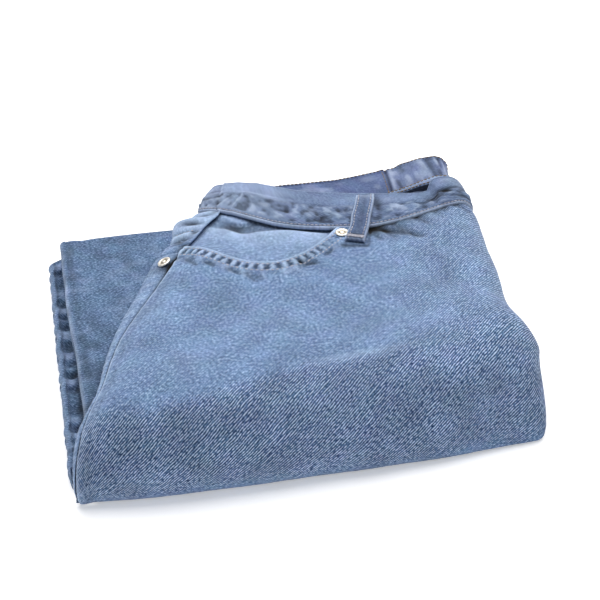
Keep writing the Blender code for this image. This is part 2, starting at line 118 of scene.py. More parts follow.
def follow(rows, position):
    """Smooth rows of a table at fractional row positions, for whole grids at once."""
    rows = np.asarray(rows, dtype=float)
    last = len(rows) - 1
    position = np.clip(np.asarray(position, dtype=float), 0, last)
    i = np.minimum(position.astype(int), last - 1)
    a, b, c, d = (rows[np.clip(i + k, 0, last)] for k in (-1, 0, 1, 2))
    return through(a, b, c, d, (position - i)[..., None])


def smooth_line(points, t):
    return follow(points, np.asarray(t) * (len(points) - 1))


def grid_of(rows, columns):
    """Two grids: the row's value and the column's value at each place."""
    return np.meshgrid(rows, columns, indexing="ij")


# %% [markdown]
# The camera stands left of the front fold and looks down at 36.5 degrees through a long lens, as a
# product photographer would. The table is a lit sheet of white paper, and the light is one big soft
# box overhead, a little behind the jeans, so the front fold falls into soft shade.

# %% Camera, table and light
def add_object(name, data):
    """New object at the origin, linked to the scene."""
    obj = bpy.data.objects.new(name, data)
    bpy.context.scene.collection.objects.link(obj)
    return obj


def look_at(obj, target):
    obj.rotation_euler = (Vector(target) - obj.location).to_track_quat("-Z", "Y").to_euler()


camera = add_object("camera", bpy.data.cameras.new("camera"))
camera.data.lens, camera.data.sensor_width = 84.9, 36.0
camera.location = to_frame((-146.2, -725.0, 547.2))
look_at(camera, to_frame((0.0, 0.0, 0.0)))
bpy.context.scene.camera = camera
bpy.context.scene.view_settings.view_transform = "Standard"

for title, spot, size, power, tint in (
    ("soft_box", (0.1, 0.5, 1.7), 2.2, 50.0, (1.0, 0.985, 0.97)),
    ("side_fill", (-1.6, -0.6, 0.9), 1.6, 3.0, (0.93, 0.96, 1.0)),
):
    lamp = add_object(title, bpy.data.lights.new(title, "AREA"))
    lamp.data.size, lamp.data.energy, lamp.data.color = size, power, tint
    lamp.location = spot
    look_at(lamp, (0.0, 0.0, 0.0))

world = bpy.data.worlds.new("studio")
bpy.context.scene.world = world
world.use_nodes = True
sky = world.node_tree.nodes["Background"].inputs
sky["Color"].default_value = (0.93, 0.96, 1.0, 1.0)
sky["Strength"].default_value = 0.22

TABLE_HALF = 6            # metres from the middle of the table to its edge
floor_mesh = bpy.data.meshes.new("table_top")
floor_mesh.from_pydata([(x * TABLE_HALF, y * TABLE_HALF, 0) for x, y in ((-1, -1), (1, -1), (1, 1), (-1, 1))],
                       [], [(0, 1, 2, 3)])
table_top = add_object("table_top", floor_mesh)
sweep = bpy.data.materials.new("white_paper_sweep")
sweep.use_nodes = True
paper = sweep.node_tree.nodes["Principled BSDF"].inputs
paper["Base Color"].default_value = (0.92, 0.92, 0.925, 1.0)
paper["Roughness"].default_value = 0.9
paper["Emission Color"].default_value = (1.0, 1.0, 1.0, 1.0)
paper["Emission Strength"].default_value = 0.38
floor_mesh.materials.append(sweep)
print("camera at", [round(x, 3) for x in camera.location])


# %% [markdown]
# Materials start from what the real thing is. One function turns sRGB hex colours to linear, and
# one small function adds a node with its settings and its links, so each material reads as a list.

# %% Colour and node helpers
def tone(code):
    """sRGB hex to linear RGBA."""
    parts = [int(code[i:i + 2], 16) / 255 for i in (1, 3, 5)]
    return tuple(c / 12.92 if c <= 0.04045 else ((c + 0.055) / 1.055) ** 2.4 for c in parts) + (1.0,)


def add_node(tree, kind, settings=None, links=None):
    """Adds a node; settings are properties or input values, links are input = output socket."""
    node = tree.nodes.new(kind)
    for key, value in (settings or {}).items():
        if isinstance(key, str) and hasattr(node, key):
            setattr(node, key, value)
        else:
            node.inputs[key].default_value = value
    for key, socket in (links or {}).items():
        tree.links.new(socket, node.inputs[key])
    return node


def new_material(name):
    mat = bpy.data.materials.new(name)
    mat.use_nodes = True
    shader = mat.node_tree.nodes["Principled BSDF"]
    return mat, mat.node_tree, shader


# %% [markdown]
# Denim is a three-over-one twill: blue warp threads run along the leg and pass over three white
# weft threads, then under one. The dips line up in steep diagonals that rise to the right. Washing
# leaves the high threads pale and the dips dark. The diagonals here are 1.3 mm apart, about twice
# the real thread spacing, so that they show in the picture.

# %% Washed denim
TWILL_STEP = 1.32         # mm between diagonals
TWILL_ANGLE = 42.5        # degrees above the weft
BAND_TURN = -40.0         # degrees between the waistband's twill and the leg's


def washed_denim(name, deep, middle, pale, worn, contrast=1.0, turn=0.0):
    """Twill in millimetres of the piece's own UV map, faded by its wear and darkened by the painted shade of
    its shade attribute.
    """
    mat, tree, shader = new_material(name)
    uv = add_node(tree, "ShaderNodeUVMap", {"uv_map": "cloth"}).outputs[0]
    flat = add_node(tree, "ShaderNodeMapping", {"Scale": (1000, 1000, 1000)}, {"Vector": uv}).outputs[0]
    lean = add_node(tree, "ShaderNodeMapping", {"Rotation": (0, 0, -radians(TWILL_ANGLE + turn))},
                    {"Vector": flat}).outputs[0]
    split = add_node(tree, "ShaderNodeSeparateXYZ", None, {"Vector": lean})
    drift = add_node(tree, "ShaderNodeTexNoise", {"Scale": 0.10, "Detail": 1.0}, {"Vector": flat})
    across = add_node(tree, "ShaderNodeMath", {"operation": "MULTIPLY_ADD", 1: 1.3},
                      {0: drift.outputs["Fac"], 2: split.outputs["Y"]})
    phase = add_node(tree, "ShaderNodeMath", {"operation": "MULTIPLY", 1: 2 * np.pi / TWILL_STEP},
                     {0: across.outputs[0]})
    stripe = add_node(tree, "ShaderNodeMath", {"operation": "SINE"}, {0: phase.outputs[0]})
    # Slubs: short bright dashes along the diagonals and fine specks of single threads.
    dash_map = add_node(tree, "ShaderNodeMapping", {"Scale": (0.5, 0.72, 1.0)}, {"Vector": lean})
    dash = add_node(tree, "ShaderNodeTexNoise", {"Scale": 1.0, "Detail": 1.5, "Roughness": 0.6},
                    {"Vector": dash_map.outputs[0]})
    dash = add_node(tree, "ShaderNodeMapRange", {"From Min": 0.3, "From Max": 0.7, "To Min": -1.0,
                    "To Max": 1.0, "clamp": False}, {"Value": dash.outputs["Fac"]})
    speck = add_node(tree, "ShaderNodeTexNoise", {"Scale": 0.62, "Detail": 1.5, "Roughness": 0.6},
                     {"Vector": flat})
    speck = add_node(tree, "ShaderNodeMapRange", {"From Min": 0.32, "From Max": 0.68, "To Min": -1.0,
                     "To Max": 1.0, "clamp": False}, {"Value": speck.outputs["Fac"]})
    # The twill attribute says how bold the diagonals are: flattened by wear where it is low.
    bold = add_node(tree, "ShaderNodeAttribute", {"attribute_name": "twill"}).outputs["Fac"]
    reach = add_node(tree, "ShaderNodeMath", {"operation": "MULTIPLY_ADD", 1: 0.26, 2: 0.27},
                     {0: dash.outputs[0]})
    reach = add_node(tree, "ShaderNodeMath", {"operation": "MULTIPLY"}, {0: reach.outputs[0], 1: bold})
    line = add_node(tree, "ShaderNodeMath", {"operation": "MULTIPLY"},
                    {0: stripe.outputs[0], 1: reach.outputs[0]})
    weave = add_node(tree, "ShaderNodeMath", {"operation": "MULTIPLY_ADD", 1: contrast, 2: 0.5},
                     {0: line.outputs[0]})
    slub = add_node(tree, "ShaderNodeMath", {"operation": "MULTIPLY"}, {0: dash.outputs[0], 1: bold})
    weave = add_node(tree, "ShaderNodeMath", {"operation": "MULTIPLY_ADD", 1: 0.14 * contrast},
                     {0: slub.outputs[0], 2: weave.outputs[0]})
    weave = add_node(tree, "ShaderNodeMath", {"operation": "MULTIPLY_ADD", 1: 0.15 * contrast},
                     {0: speck.outputs[0], 2: weave.outputs[0]})
    ramp = add_node(tree, "ShaderNodeValToRGB", None, {"Fac": weave.outputs[0]})
    ramp.color_ramp.elements[0].position, ramp.color_ramp.elements[0].color = 0.12, tone(deep)
    ramp.color_ramp.elements[1].position, ramp.color_ramp.elements[1].color = 0.94, tone(pale)
    ramp.color_ramp.elements.new(0.52).color = tone(middle)
    # Cloudy fading from the wash, and paler cloth where the wear attribute says so.
    cloud = add_node(tree, "ShaderNodeTexNoise", {"Scale": 0.06, "Detail": 4.0, "Roughness": 0.6},
                     {"Vector": flat})
    cloud = add_node(tree, "ShaderNodeMapRange", {"From Min": 0.3, "From Max": 0.7, "To Min": 0.82,
                     "To Max": 1.17}, {"Value": cloud.outputs["Fac"]})
    wear = add_node(tree, "ShaderNodeAttribute", {"attribute_name": "wear"}).outputs["Fac"]
    rub = add_node(tree, "ShaderNodeMath", {"operation": "MULTIPLY_ADD", 1: 0.35, 2: 0.62},
                   {0: weave.outputs[0]})
    rub = add_node(tree, "ShaderNodeMath", {"operation": "MULTIPLY", "use_clamp": True},
                   {0: rub.outputs[0], 1: wear})
    faded = add_node(tree, "ShaderNodeMix", {"data_type": "RGBA"})
    tree.links.new(rub.outputs[0], faded.inputs[0])
    tree.links.new(ramp.outputs["Color"], faded.inputs[6])
    faded.inputs[7].default_value = tone(worn)
    # The shade attribute darkens the colour: painted shade in dips, seams, creases and hidden places.
    shade = add_node(tree, "ShaderNodeAttribute", {"attribute_name": "shade"}).outputs["Fac"]
    light = add_node(tree, "ShaderNodeMath", {"operation": "SUBTRACT", 0: 1.0}, {1: shade})
    light = add_node(tree, "ShaderNodeMath", {"operation": "MULTIPLY"},
                     {0: light.outputs[0], 1: cloud.outputs[0]})
    final = add_node(tree, "ShaderNodeVectorMath", {"operation": "SCALE"},
                     {0: faded.outputs[2], "Scale": light.outputs[0]})
    # The wash drifts a little between violet-blue and green-blue.
    tint = add_node(tree, "ShaderNodeTexNoise", {"Scale": 0.075, "Detail": 2.0}, {"Vector": flat})
    tint = add_node(tree, "ShaderNodeMapRange", {"From Min": 0.3, "From Max": 0.7, "To Min": 0.494,
                    "To Max": 0.510}, {"Value": tint.outputs["Fac"]})
    final = add_node(tree, "ShaderNodeHueSaturation", None,
                     {"Color": final.outputs[0], "Hue": tint.outputs[0]})
    tree.links.new(final.outputs[0], shader.inputs["Base Color"])
    # Cotton is rough, with a faint nap that catches light at the edges.
    shader.inputs["Roughness"].default_value = 0.92
    shader.inputs["Specular IOR Level"].default_value = 0.25
    shader.inputs["Sheen Weight"].default_value = 0.12
    shader.inputs["Sheen Roughness"].default_value = 0.5
    bump = add_node(tree, "ShaderNodeBump", {"Strength": 0.55, "Distance": 0.0003},
                    {"Height": weave.outputs[0]})
    tree.links.new(bump.outputs[0], shader.inputs["Normal"])
    return mat


# The leg's twill is bold. The waistband is worn nearly plain, and its colours are darker as painted shade; so
# are those of the layers underneath. The wrong side of the cloth is greyer, because the white weft lies
# there, and darker, again as painted shade.
denim = washed_denim("washed_denim", "#1b3155", "#5f7fa8", "#c0d4f2", "#b9cfec", 1.35)
denim_band = washed_denim("washed_denim_band_in_shade", "#354668", "#5f7599", "#93a9cb", "#b6c7e2", 0.8, BAND_TURN)
shaded_denim_layers = washed_denim("washed_denim_layers_in_shade", "#2a3d5f", "#55708f", "#90a8cf", "#a6bbdc", 1.35)
shaded_wrong_side = washed_denim("denim_wrong_side_in_shade", "#37456a", "#56678e", "#7f90b3", "#a3b1cb", 0.8, BAND_TURN)
print("denims:", denim.name, denim_band.name, shaded_denim_layers.name, shaded_wrong_side.name)


# %% [markdown]
# A cloth piece is two grids of points, the face and the back of the cloth, joined by a rounded rim. The face
# grid carries a UV map in metres that follows the cloth, so the twill bends with it, and three attributes:
# wear, which fades the cloth, shade, which paints shade into seams, dips and creases, and twill, which says
# how bold the diagonals are.

# %% Shells and lofts
def make_mesh(name, verts, faces, corner_uv, masks, mat):
    """Mesh object at the origin with a UV per corner, smooth shading and outward faces."""
    verts = to_frame(verts)
    faces = np.asarray(faces)
    a, b, c, d = (verts[faces[:, k]] for k in range(4))
    volume = sum(np.einsum("ij,ij->i", a, np.cross(p, q)).sum() for p, q in ((b, c), (c, d)))
    if volume < 0:
        faces, corner_uv = faces[:, ::-1], corner_uv[:, ::-1]
    mesh = bpy.data.meshes.new(name)
    mesh.from_pydata(verts.tolist(), [], faces.tolist())
    uv = mesh.uv_layers.new(name="cloth")
    uv.data.foreach_set("uv", (np.asarray(corner_uv).reshape(-1, 2) * MM).astype(np.float32).ravel())
    for key, plain in (("wear", 0.0), ("shade", 0.0), ("twill", 0.6)):
        values = np.clip(masks.get(key, np.full(len(verts), plain)), 0.0, 1.0)
        mesh.attributes.new(key, "FLOAT", "POINT").data.foreach_set("value", values.astype(np.float32))
    mesh.shade_smooth()
    mesh.materials.append(mat)
    print(name, len(faces) * 2, "triangles")
    return add_object(name, mesh)


def cloth_uv(points):
    """Unrolled cloth: across from lengths in x and z, along from lengths in y and z."""
    step = np.diff(points, axis=0)
    right = np.hypot(step[..., 0], step[..., 2]) * np.sign(step[..., 0].sum() + 1e-9)
    u = points[0, :, 0] + np.vstack([np.zeros((1, points.shape[1])), np.cumsum(right, axis=0)])
    step = np.diff(points, axis=1)
    down = np.hypot(step[..., 1], step[..., 2])
    v = points[:, :1, 1] - np.hstack([np.zeros((points.shape[0], 1)), np.cumsum(down, axis=1)])
    return np.stack([u, v], axis=-1)


# %% [markdown]
# A single sheet has no thickness, and its cut edge would show as a knife line. A Solidify modifier
# could give it a wall, but here the inner face sometimes has to follow something else, such as the
# table, so both faces are given and only the rim between them is made.

# %% Closed shell
RIM_BULGE = 0.3           # how far the rim stands out, in cloth thicknesses
# Painted shade on the back face of every shell, the side that does not show.
INNER_SHADE = 0.15        # darkening of the side that does not show


def ring_quads(index):
    """Four-sided faces between rows of closed rings of point numbers."""
    nxt = np.roll(index, -1, axis=1)
    return np.stack([index[:-1], index[1:], nxt[1:], nxt[:-1]], axis=-1).reshape(-1, 4)


def cloth_shell(name, outer, inner, uv, wear, shade, mat, twill=0.6):
    """Closed shell between two grids with a rounded rim."""
    n, m = outer.shape[:2]
    index = np.arange(n * m).reshape(n, m)
    a, b, c, d = index[:-1, :-1], index[1:, :-1], index[1:, 1:], index[:-1, 1:]
    quads = np.stack([a, b, c, d], axis=-1).reshape(-1, 4)
    rim = np.concatenate([index[:, 0], index[-1, 1:], index[-2::-1, -1], index[0, -2:0:-1]])
    near = index[np.clip(rim // m, 1, n - 2), np.clip(rim % m, 1, m - 2)]
    flat_outer, flat_inner = outer.reshape(-1, 3), inner.reshape(-1, 3)
    middle = (flat_outer[rim] + flat_inner[rim]) / 2
    away = unit(middle - (flat_outer[near] + flat_inner[near]) / 2)
    wall = np.linalg.norm(flat_outer[rim] - flat_inner[rim], axis=1, keepdims=True)
    ring = middle + away * wall * RIM_BULGE
    k = 2 * n * m + np.arange(len(rim))
    nxt = np.roll(np.arange(len(rim)), -1)
    faces = np.concatenate([
        quads, quads[:, ::-1] + n * m,
        np.stack([rim, k, k[nxt], rim[nxt]], axis=-1),
        np.stack([k, rim + n * m, rim[nxt] + n * m, k[nxt]], axis=-1)])
    verts = np.concatenate([flat_outer, flat_inner, ring])
    point_uv = np.concatenate([uv.reshape(-1, 2)] * 2 + [uv.reshape(-1, 2)[rim]])
    wear, shade, twill = (a.ravel() for a in np.broadcast_arrays(wear, shade, twill))
    masks = {"wear": np.concatenate([wear, 0 * wear, wear[rim]]),
             "shade": np.concatenate([shade, INNER_SHADE + 0 * shade, shade[rim]]),
             "twill": np.concatenate([twill, twill, twill[rim]])}
    return make_mesh(name, verts, faces, point_uv[faces], masks, mat)


# %% [markdown]
# The folded legs and the hidden cloth are thick bundles, so they are lofts: rings of points, one
# behind the other, with a cap at each end.

# %% Closed loft
def cloth_loft(name, rings, along, wear, shade, mat, twill=0.35):
    """Closed body through rings of points (rings, points, xyz); along is each ring's place in mm."""
    n, k = rings.shape[:2]
    index = np.arange(n * k).reshape(n, k)
    step = np.linalg.norm(np.roll(rings, -1, axis=1) - rings, axis=-1)
    around = np.hstack([np.zeros((n, 1)), np.cumsum(step, axis=1)])
    grid = np.stack([around, np.repeat(np.asarray(along)[:, None], k + 1, axis=1)], axis=-1)
    uv = np.stack([grid[:-1, :-1], grid[1:, :-1], grid[1:, 1:], grid[:-1, 1:]], axis=2).reshape(-1, 4, 2)
    verts = rings.reshape(-1, 3)
    faces, corners = [ring_quads(index)], [uv]
    for row, flip in ((0, 1), (n - 1, -1)):
        # A cap: strips between matching points on the two halves of the ring.
        ids, i = index[row], np.arange(k // 2 - 1)
        strip = np.stack([ids[i], ids[i + 1], ids[k - i - 2], ids[k - i - 1]], axis=-1)[:, ::flip]
        faces.append(strip)
        corners.append(np.stack([verts[strip][..., 0] + verts[strip][..., 1], verts[strip][..., 2]], axis=-1))
    masks = {"wear": wear.ravel(), "shade": shade.ravel(), "twill": np.full(wear.size, twill)}
    return make_mesh(name, verts, np.concatenate(faces), np.concatenate(corners), masks, mat)


# %% [markdown]
# The top layer of the bundle is one continuous bend of cloth: from the waistband seam over the
# hip, round the front fold and down to the table. Its stations are the same named values as in
# the solids, so the shell lies on its solid. A station gives the side seam, the right-hand fold,
# the height between them and how the line bows.

# %% The form of the top layer
# xs, ys, zs: side seam; xf, yf: right-hand fold; crown: height between them; bow, power: how the
# line bows; rs, rr: reach of the turn at the seam and of the roll at the fold; deep: its depth.
TOP_COLUMNS = ("xs", "ys", "zs", "xf", "yf", "crown", "bow", "power", "rs", "rr", "deep")
TOP_ROWS = np.array([
    (-36.0, 30.6, 54.5, 117.0, 13.5, 56.0, -29.0, 2.0, 20, 16, 11),
    (-60.0, 12.0, 51.8, 118.0, 2.0, 56.5, -21.0, 2.0, 25, 18, 14),
    (-75.0, -2.5, 50.0, 117.0, -11.0, 57.0, -14.0, 2.0, 26, 20, 17),
    (-84.0, -17.0, 48.5, 115.5, -28.0, 57.5, -9.0, 2.0, 27, 22, 18),
    (-93.5, -33.0, 47.5, 114.5, -45.0, 57.5, -6.0, 2.1, 28, 23, 19),
    (-106.0, -53.0, 46.5, 113.0, -62.0, 57.5, -4.0, 2.2, 28, 24, 20),
    (-118.5, -75.0, 46.5, 111.5, -80.0, 57.5, -3.0, 2.3, 28, 25, 22),
    (-127.5, -97.0, 46.5, 112.0, -98.0, 57.5, -2.0, 2.4, 27, 27, 24),
    (-134.5, -119.5, 46.5, 116.0, -112.0, 58.0, -2.5, 2.5, 25, 28, 26),
    (-142.0, -136.0, 45.5, 117.0, -123.0, 57.0, -6.0, 2.8, 20, 28, 24),
    (-147.5, -147.0, 42.0, 116.3, -134.0, 52.5, -12.0, 3.0, 14, 26, 20),
    (-151.2, -155.5, 35.0, 114.2, -144.0, 43.5, -14.0, 3.0, 10, 22, 16),
    (-154.0, -161.5, 26.0, 113.4, -151.5, 31.5, -13.5, 3.0, 8, 16, 12),
    (-155.2, -164.5, 16.5, 112.7, -157.5, 19.0, -11.5, 3.0, 8, 11, 8),
    (-155.2, -163.5, 7.5, 112.2, -160.5, 8.0, -8.5, 3.0, 8, 8, 6),
    (-154.4, -160.5, 2.0, 111.5, -161.0, 1.6, -5.0, 3.0, 8, 6, 5),
])
EDGE_ROWS = np.array([
    # the left edge of the cloth beyond the side seam, at the same stations
    (-58.0, 44.5, 46.0), (-77.0, 17.0, 44.5), (-90.5, 0.5, 44.0), (-98.5, -15.5, 43.5),
    (-106.0, -32.5, 43.0), (-115.5, -52.0, 43.0), (-124.5, -73.5, 43.0), (-131.5, -95.5, 43.0),
    (-137.5, -119.0, 43.0), (-145.0, -135.0, 42.0), (-150.5, -145.5, 39.0),
    (-153.5, -153.5, 33.5), (-155.3, -158.5, 25.5), (-156.0, -161.0, 16.5),
    (-155.5, -160.0, 8.5), (-154.3, -157.5, 3.0),
])
# The pocket opening in plan, from the side seam to the waistband.
OPENING = [(-72.8, 0.0), (-64.2, -7.6), (-57.4, -15.9), (-46.2, -26.6), (-35.0, -33.2), (-22.4, -35.4),
           (-10.7, -32.6), (-1.0, -27.5), (8.5, -19.8), (16.5, -12.4), (22.5, -3.6)]
LAST = len(TOP_ROWS) - 1.0    # v of the lowest station, on the table
ROLL_ANGLE = radians(104.0)   # how far the cloth turns round at the right-hand fold
ROLL_PAST = 1.1               # the roll may run on by a tenth


# %% [markdown]
# A place on this layer has two numbers. u runs from the side seam to the right-hand fold, and v
# runs down from the waistband seam, one unit a station. Because the cloth is a function of u and v,
# seams, stitches and rivets can all ask it where they lie. At the right-hand fold the cloth rolls
# over by a little more than a quarter turn.

# %% Points of the top layer
def plain_section(u, v):
    """Top layer without the right-hand roll, for arrays of u (side seam to fold) and v (down)."""
    u, v = floats(u, v)
    rows = follow(TOP_ROWS, v)
    row = {name: rows[..., k] for k, name in enumerate(TOP_COLUMNS)}
    span = np.hypot(row["xf"] - row["xs"], row["yf"] - row["ys"])
    held = np.clip(u, 0.0, 1.0)
    curve = (1 - np.abs(2 * held - 1) ** row["power"]) * (1.15 - 0.5 * held)
    x = row["xs"] + (row["xf"] - row["xs"]) * u
    y = row["ys"] + (row["yf"] - row["ys"]) * u + row["bow"] * curve
    side = np.maximum(0.0, 1 - u * span / row["rs"])
    z = row["crown"] - (row["crown"] - row["zs"]) * side ** 2
    return np.stack([x, y, z], axis=-1), row, span


def roll(u, row, span):
    """Distance left to the right-hand fold, whether that is in the roll, and the angle turned there."""
    left = (1 - u) * span
    return left, left < row["rr"], ROLL_ANGLE * np.clip(1 - left / row["rr"], 0.0, ROLL_PAST)


def top_uv(u, v):
    """Unrolled cloth of the top layer: across it, and down from the first point of each line."""
    point, row, span = plain_section(u, v)
    left, rolls, angle = roll(u, row, span)
    bent = (row["rr"] + row["deep"]) / 2 * angle - (row["rr"] - left)
    across = point[..., 0] + np.where(rolls, bent, 0.0)
    step = np.diff(point, axis=1)
    falls = np.sign(-step[..., 1] - step[..., 2] + 1e-9)
    down = np.cumsum(np.hypot(step[..., 1], step[..., 2]) * falls, axis=1)
    return np.stack([across, point[:, :1, 1] - np.pad(down, ((0, 0), (1, 0)))], axis=-1)


def middle_normal(v, near=0.15):
    """Outward direction of the top layer at its middle."""
    v = np.asarray(v, dtype=float)
    along = plain_section(0.5, np.minimum(v + near, LAST))[0]
    along = along - plain_section(0.5, np.maximum(v - near, 0.0))[0]
    return unit(np.stack([0 * v, along[..., 2], -along[..., 1]], axis=-1))


def top_point(u, v):
    """Outer surface of the folded top layer with the roll at the right-hand fold."""
    u, v = floats(u, v)
    point, row, span = plain_section(u, v)
    start = plain_section(1 - row["rr"] / span, v)[0]
    across = unit((plain_section(np.ones_like(v), v)[0] - start) * LEVEL)
    _, rolls, angle = roll(u, row, span)
    rolled = (start + across * (row["rr"] * np.sin(angle))[..., None]
              - middle_normal(v) * (row["deep"] * (1 - np.cos(angle)))[..., None])
    return np.where(rolls[..., None], rolled, point)


# %% [markdown]
# Beyond the side seam the back of the jeans turns over the left edge of the bundle and goes in
# beneath it. Five knots across, joined by a smooth curve, give that turn at each station.

# %% Over the left edge
def edge_point(w, v):
    """Cloth beyond the side seam: over the left edge (w 0.5) and in beneath it (w 1)."""
    w, v = floats(w, v)
    seam = top_point(np.zeros_like(v), v)
    edge = follow(EDGE_ROWS, v)
    out = middle_normal(v)
    inward = unit((top_point(np.full_like(v, 0.03), v) - seam) * LEVEL)
    knots = np.stack([seam, (seam + edge) / 2 + out * 1.3, edge, edge - out * 2.8 + inward * 0.5,
                      edge - out * 5.0 + inward * 2.6])
    spans = len(knots) - 1
    place = np.clip(w, 0.0, 1.0) * spans
    i = np.minimum(place.astype(int), spans - 1)

    def knot(k):
        k = np.clip(k, 0, spans)[None, ..., None].repeat(3, -1)
        return np.take_along_axis(knots, k, axis=0)[0]

    return through(knot(i - 1), knot(i), knot(i + 1), knot(i + 2), (place - i)[..., None])


# %% [markdown]
# Seams are easiest to measure in plan, in x and y. To find the same place on the cloth, the nearest
# point of a coarse grid is taken and then moved closer in twelve small steps.

# %% Finding places on the cloth
def find_uv(x, y):
    """Parameters of the top layer below given points in plan: the nearest of a grid, then closer."""
    x, y = np.atleast_1d(*floats(x, y))
    gu, gv = grid_of(np.linspace(0, 1, 31), np.linspace(0, 9, 46))
    grid = plain_section(gu, gv)[0].reshape(-1, 3)
    best = np.argmin((grid[:, 0] - x[:, None]) ** 2 + (grid[:, 1] - y[:, None]) ** 2, axis=1)
    u, v = gu.ravel()[best], gv.ravel()[best]
    tiny, careful = 1e-3, 0.8
    for _ in range(12):
        p = plain_section(u, v)[0]
        pu = (plain_section(u + tiny, v)[0] - p) / tiny
        pv = (plain_section(u, v + tiny)[0] - p) / tiny
        det = pu[:, 0] * pv[:, 1] - pv[:, 0] * pu[:, 1]
        dx, dy = x - p[:, 0], y - p[:, 1]
        u = u + careful * (pv[:, 1] * dx - pv[:, 0] * dy) / det
        v = np.maximum(v + careful * (pu[:, 0] * dy - pu[:, 1] * dx) / det, 0.0)
    return u, v


def line_distance(points, line):
    """Distance of each point from a drawn line, and how far along the line it is, in mm."""
    line = np.asarray(line, dtype=float)
    flat = points.reshape(-1, 3)
    best = np.full(len(flat), 1e9)
    where = np.zeros(len(flat))
    start = 0.0
    for a, b in zip(line[:-1], line[1:]):
        ab = b - a
        size = np.linalg.norm(ab)
        t = np.clip((flat - a) @ ab / max(size * size, 1e-9), 0, 1)
        gap = np.linalg.norm(flat - a - t[:, None] * ab, axis=1)
        closer = gap < best
        best[closer], where[closer] = gap[closer], (start + t * size)[closer]
        start += size
    return best.reshape(points.shape[:-1]), where.reshape(points.shape[:-1])


opening_uv = np.stack(find_uv(*np.array(OPENING).T), axis=-1)
opening_uv[0, 0], opening_uv[-1, 1] = 0.0, 0.0
opening_end = opening_uv[-1, 0]
opening_line = top_point(*smooth_line(opening_uv, np.linspace(0, 1, 90)).T)
waist_line = top_point(np.linspace(opening_end, 1, 60), np.zeros(60))
side_line = top_point(np.zeros(160), np.linspace(0, LAST, 160))
opening_length = np.linalg.norm(np.diff(opening_line, axis=0), axis=1).sum()
print("pocket opening", round(float(opening_length), 1), "mm along")

# %% [markdown]
# Real cloth is never a clean surface. The larger creases are listed one by one, each a soft trough or ridge
# along a short line: those that show in the picture, and similar ones on the far sides.

# %% Creases
CREASES = np.array([
    # from x, y, z to x, y, z, width, depth
    (112, -84, 50, 60, -62, 57, 13, 2.2), (116, -100, 50, 70, -112, 57, 16, -1.6),
    (100, -20, 56, 70, -70, 57, 15, 1.0), (30, -40, 57, -10, -100, 57, 20, 0.8),
    (-40, -60, 57, -100, -90, 55, 18, 0.9), (-60, -100, 57, 20, -125, 57, 16, 0.7),
    (-130, -150, 42, -60, -160, 36, 14, 1.1), (-20, -163, 40, 60, -160, 46, 14, 1.0),
    (60, -165, 20, 105, -158, 34, 12, 1.5), (-120, -168, 14, -40, -172, 20, 13, 0.9),
    (0, -170, 12, 70, -166, 10, 10, -0.8), (80, -30, 57, 108, -50, 52, 9, 0.9),
])


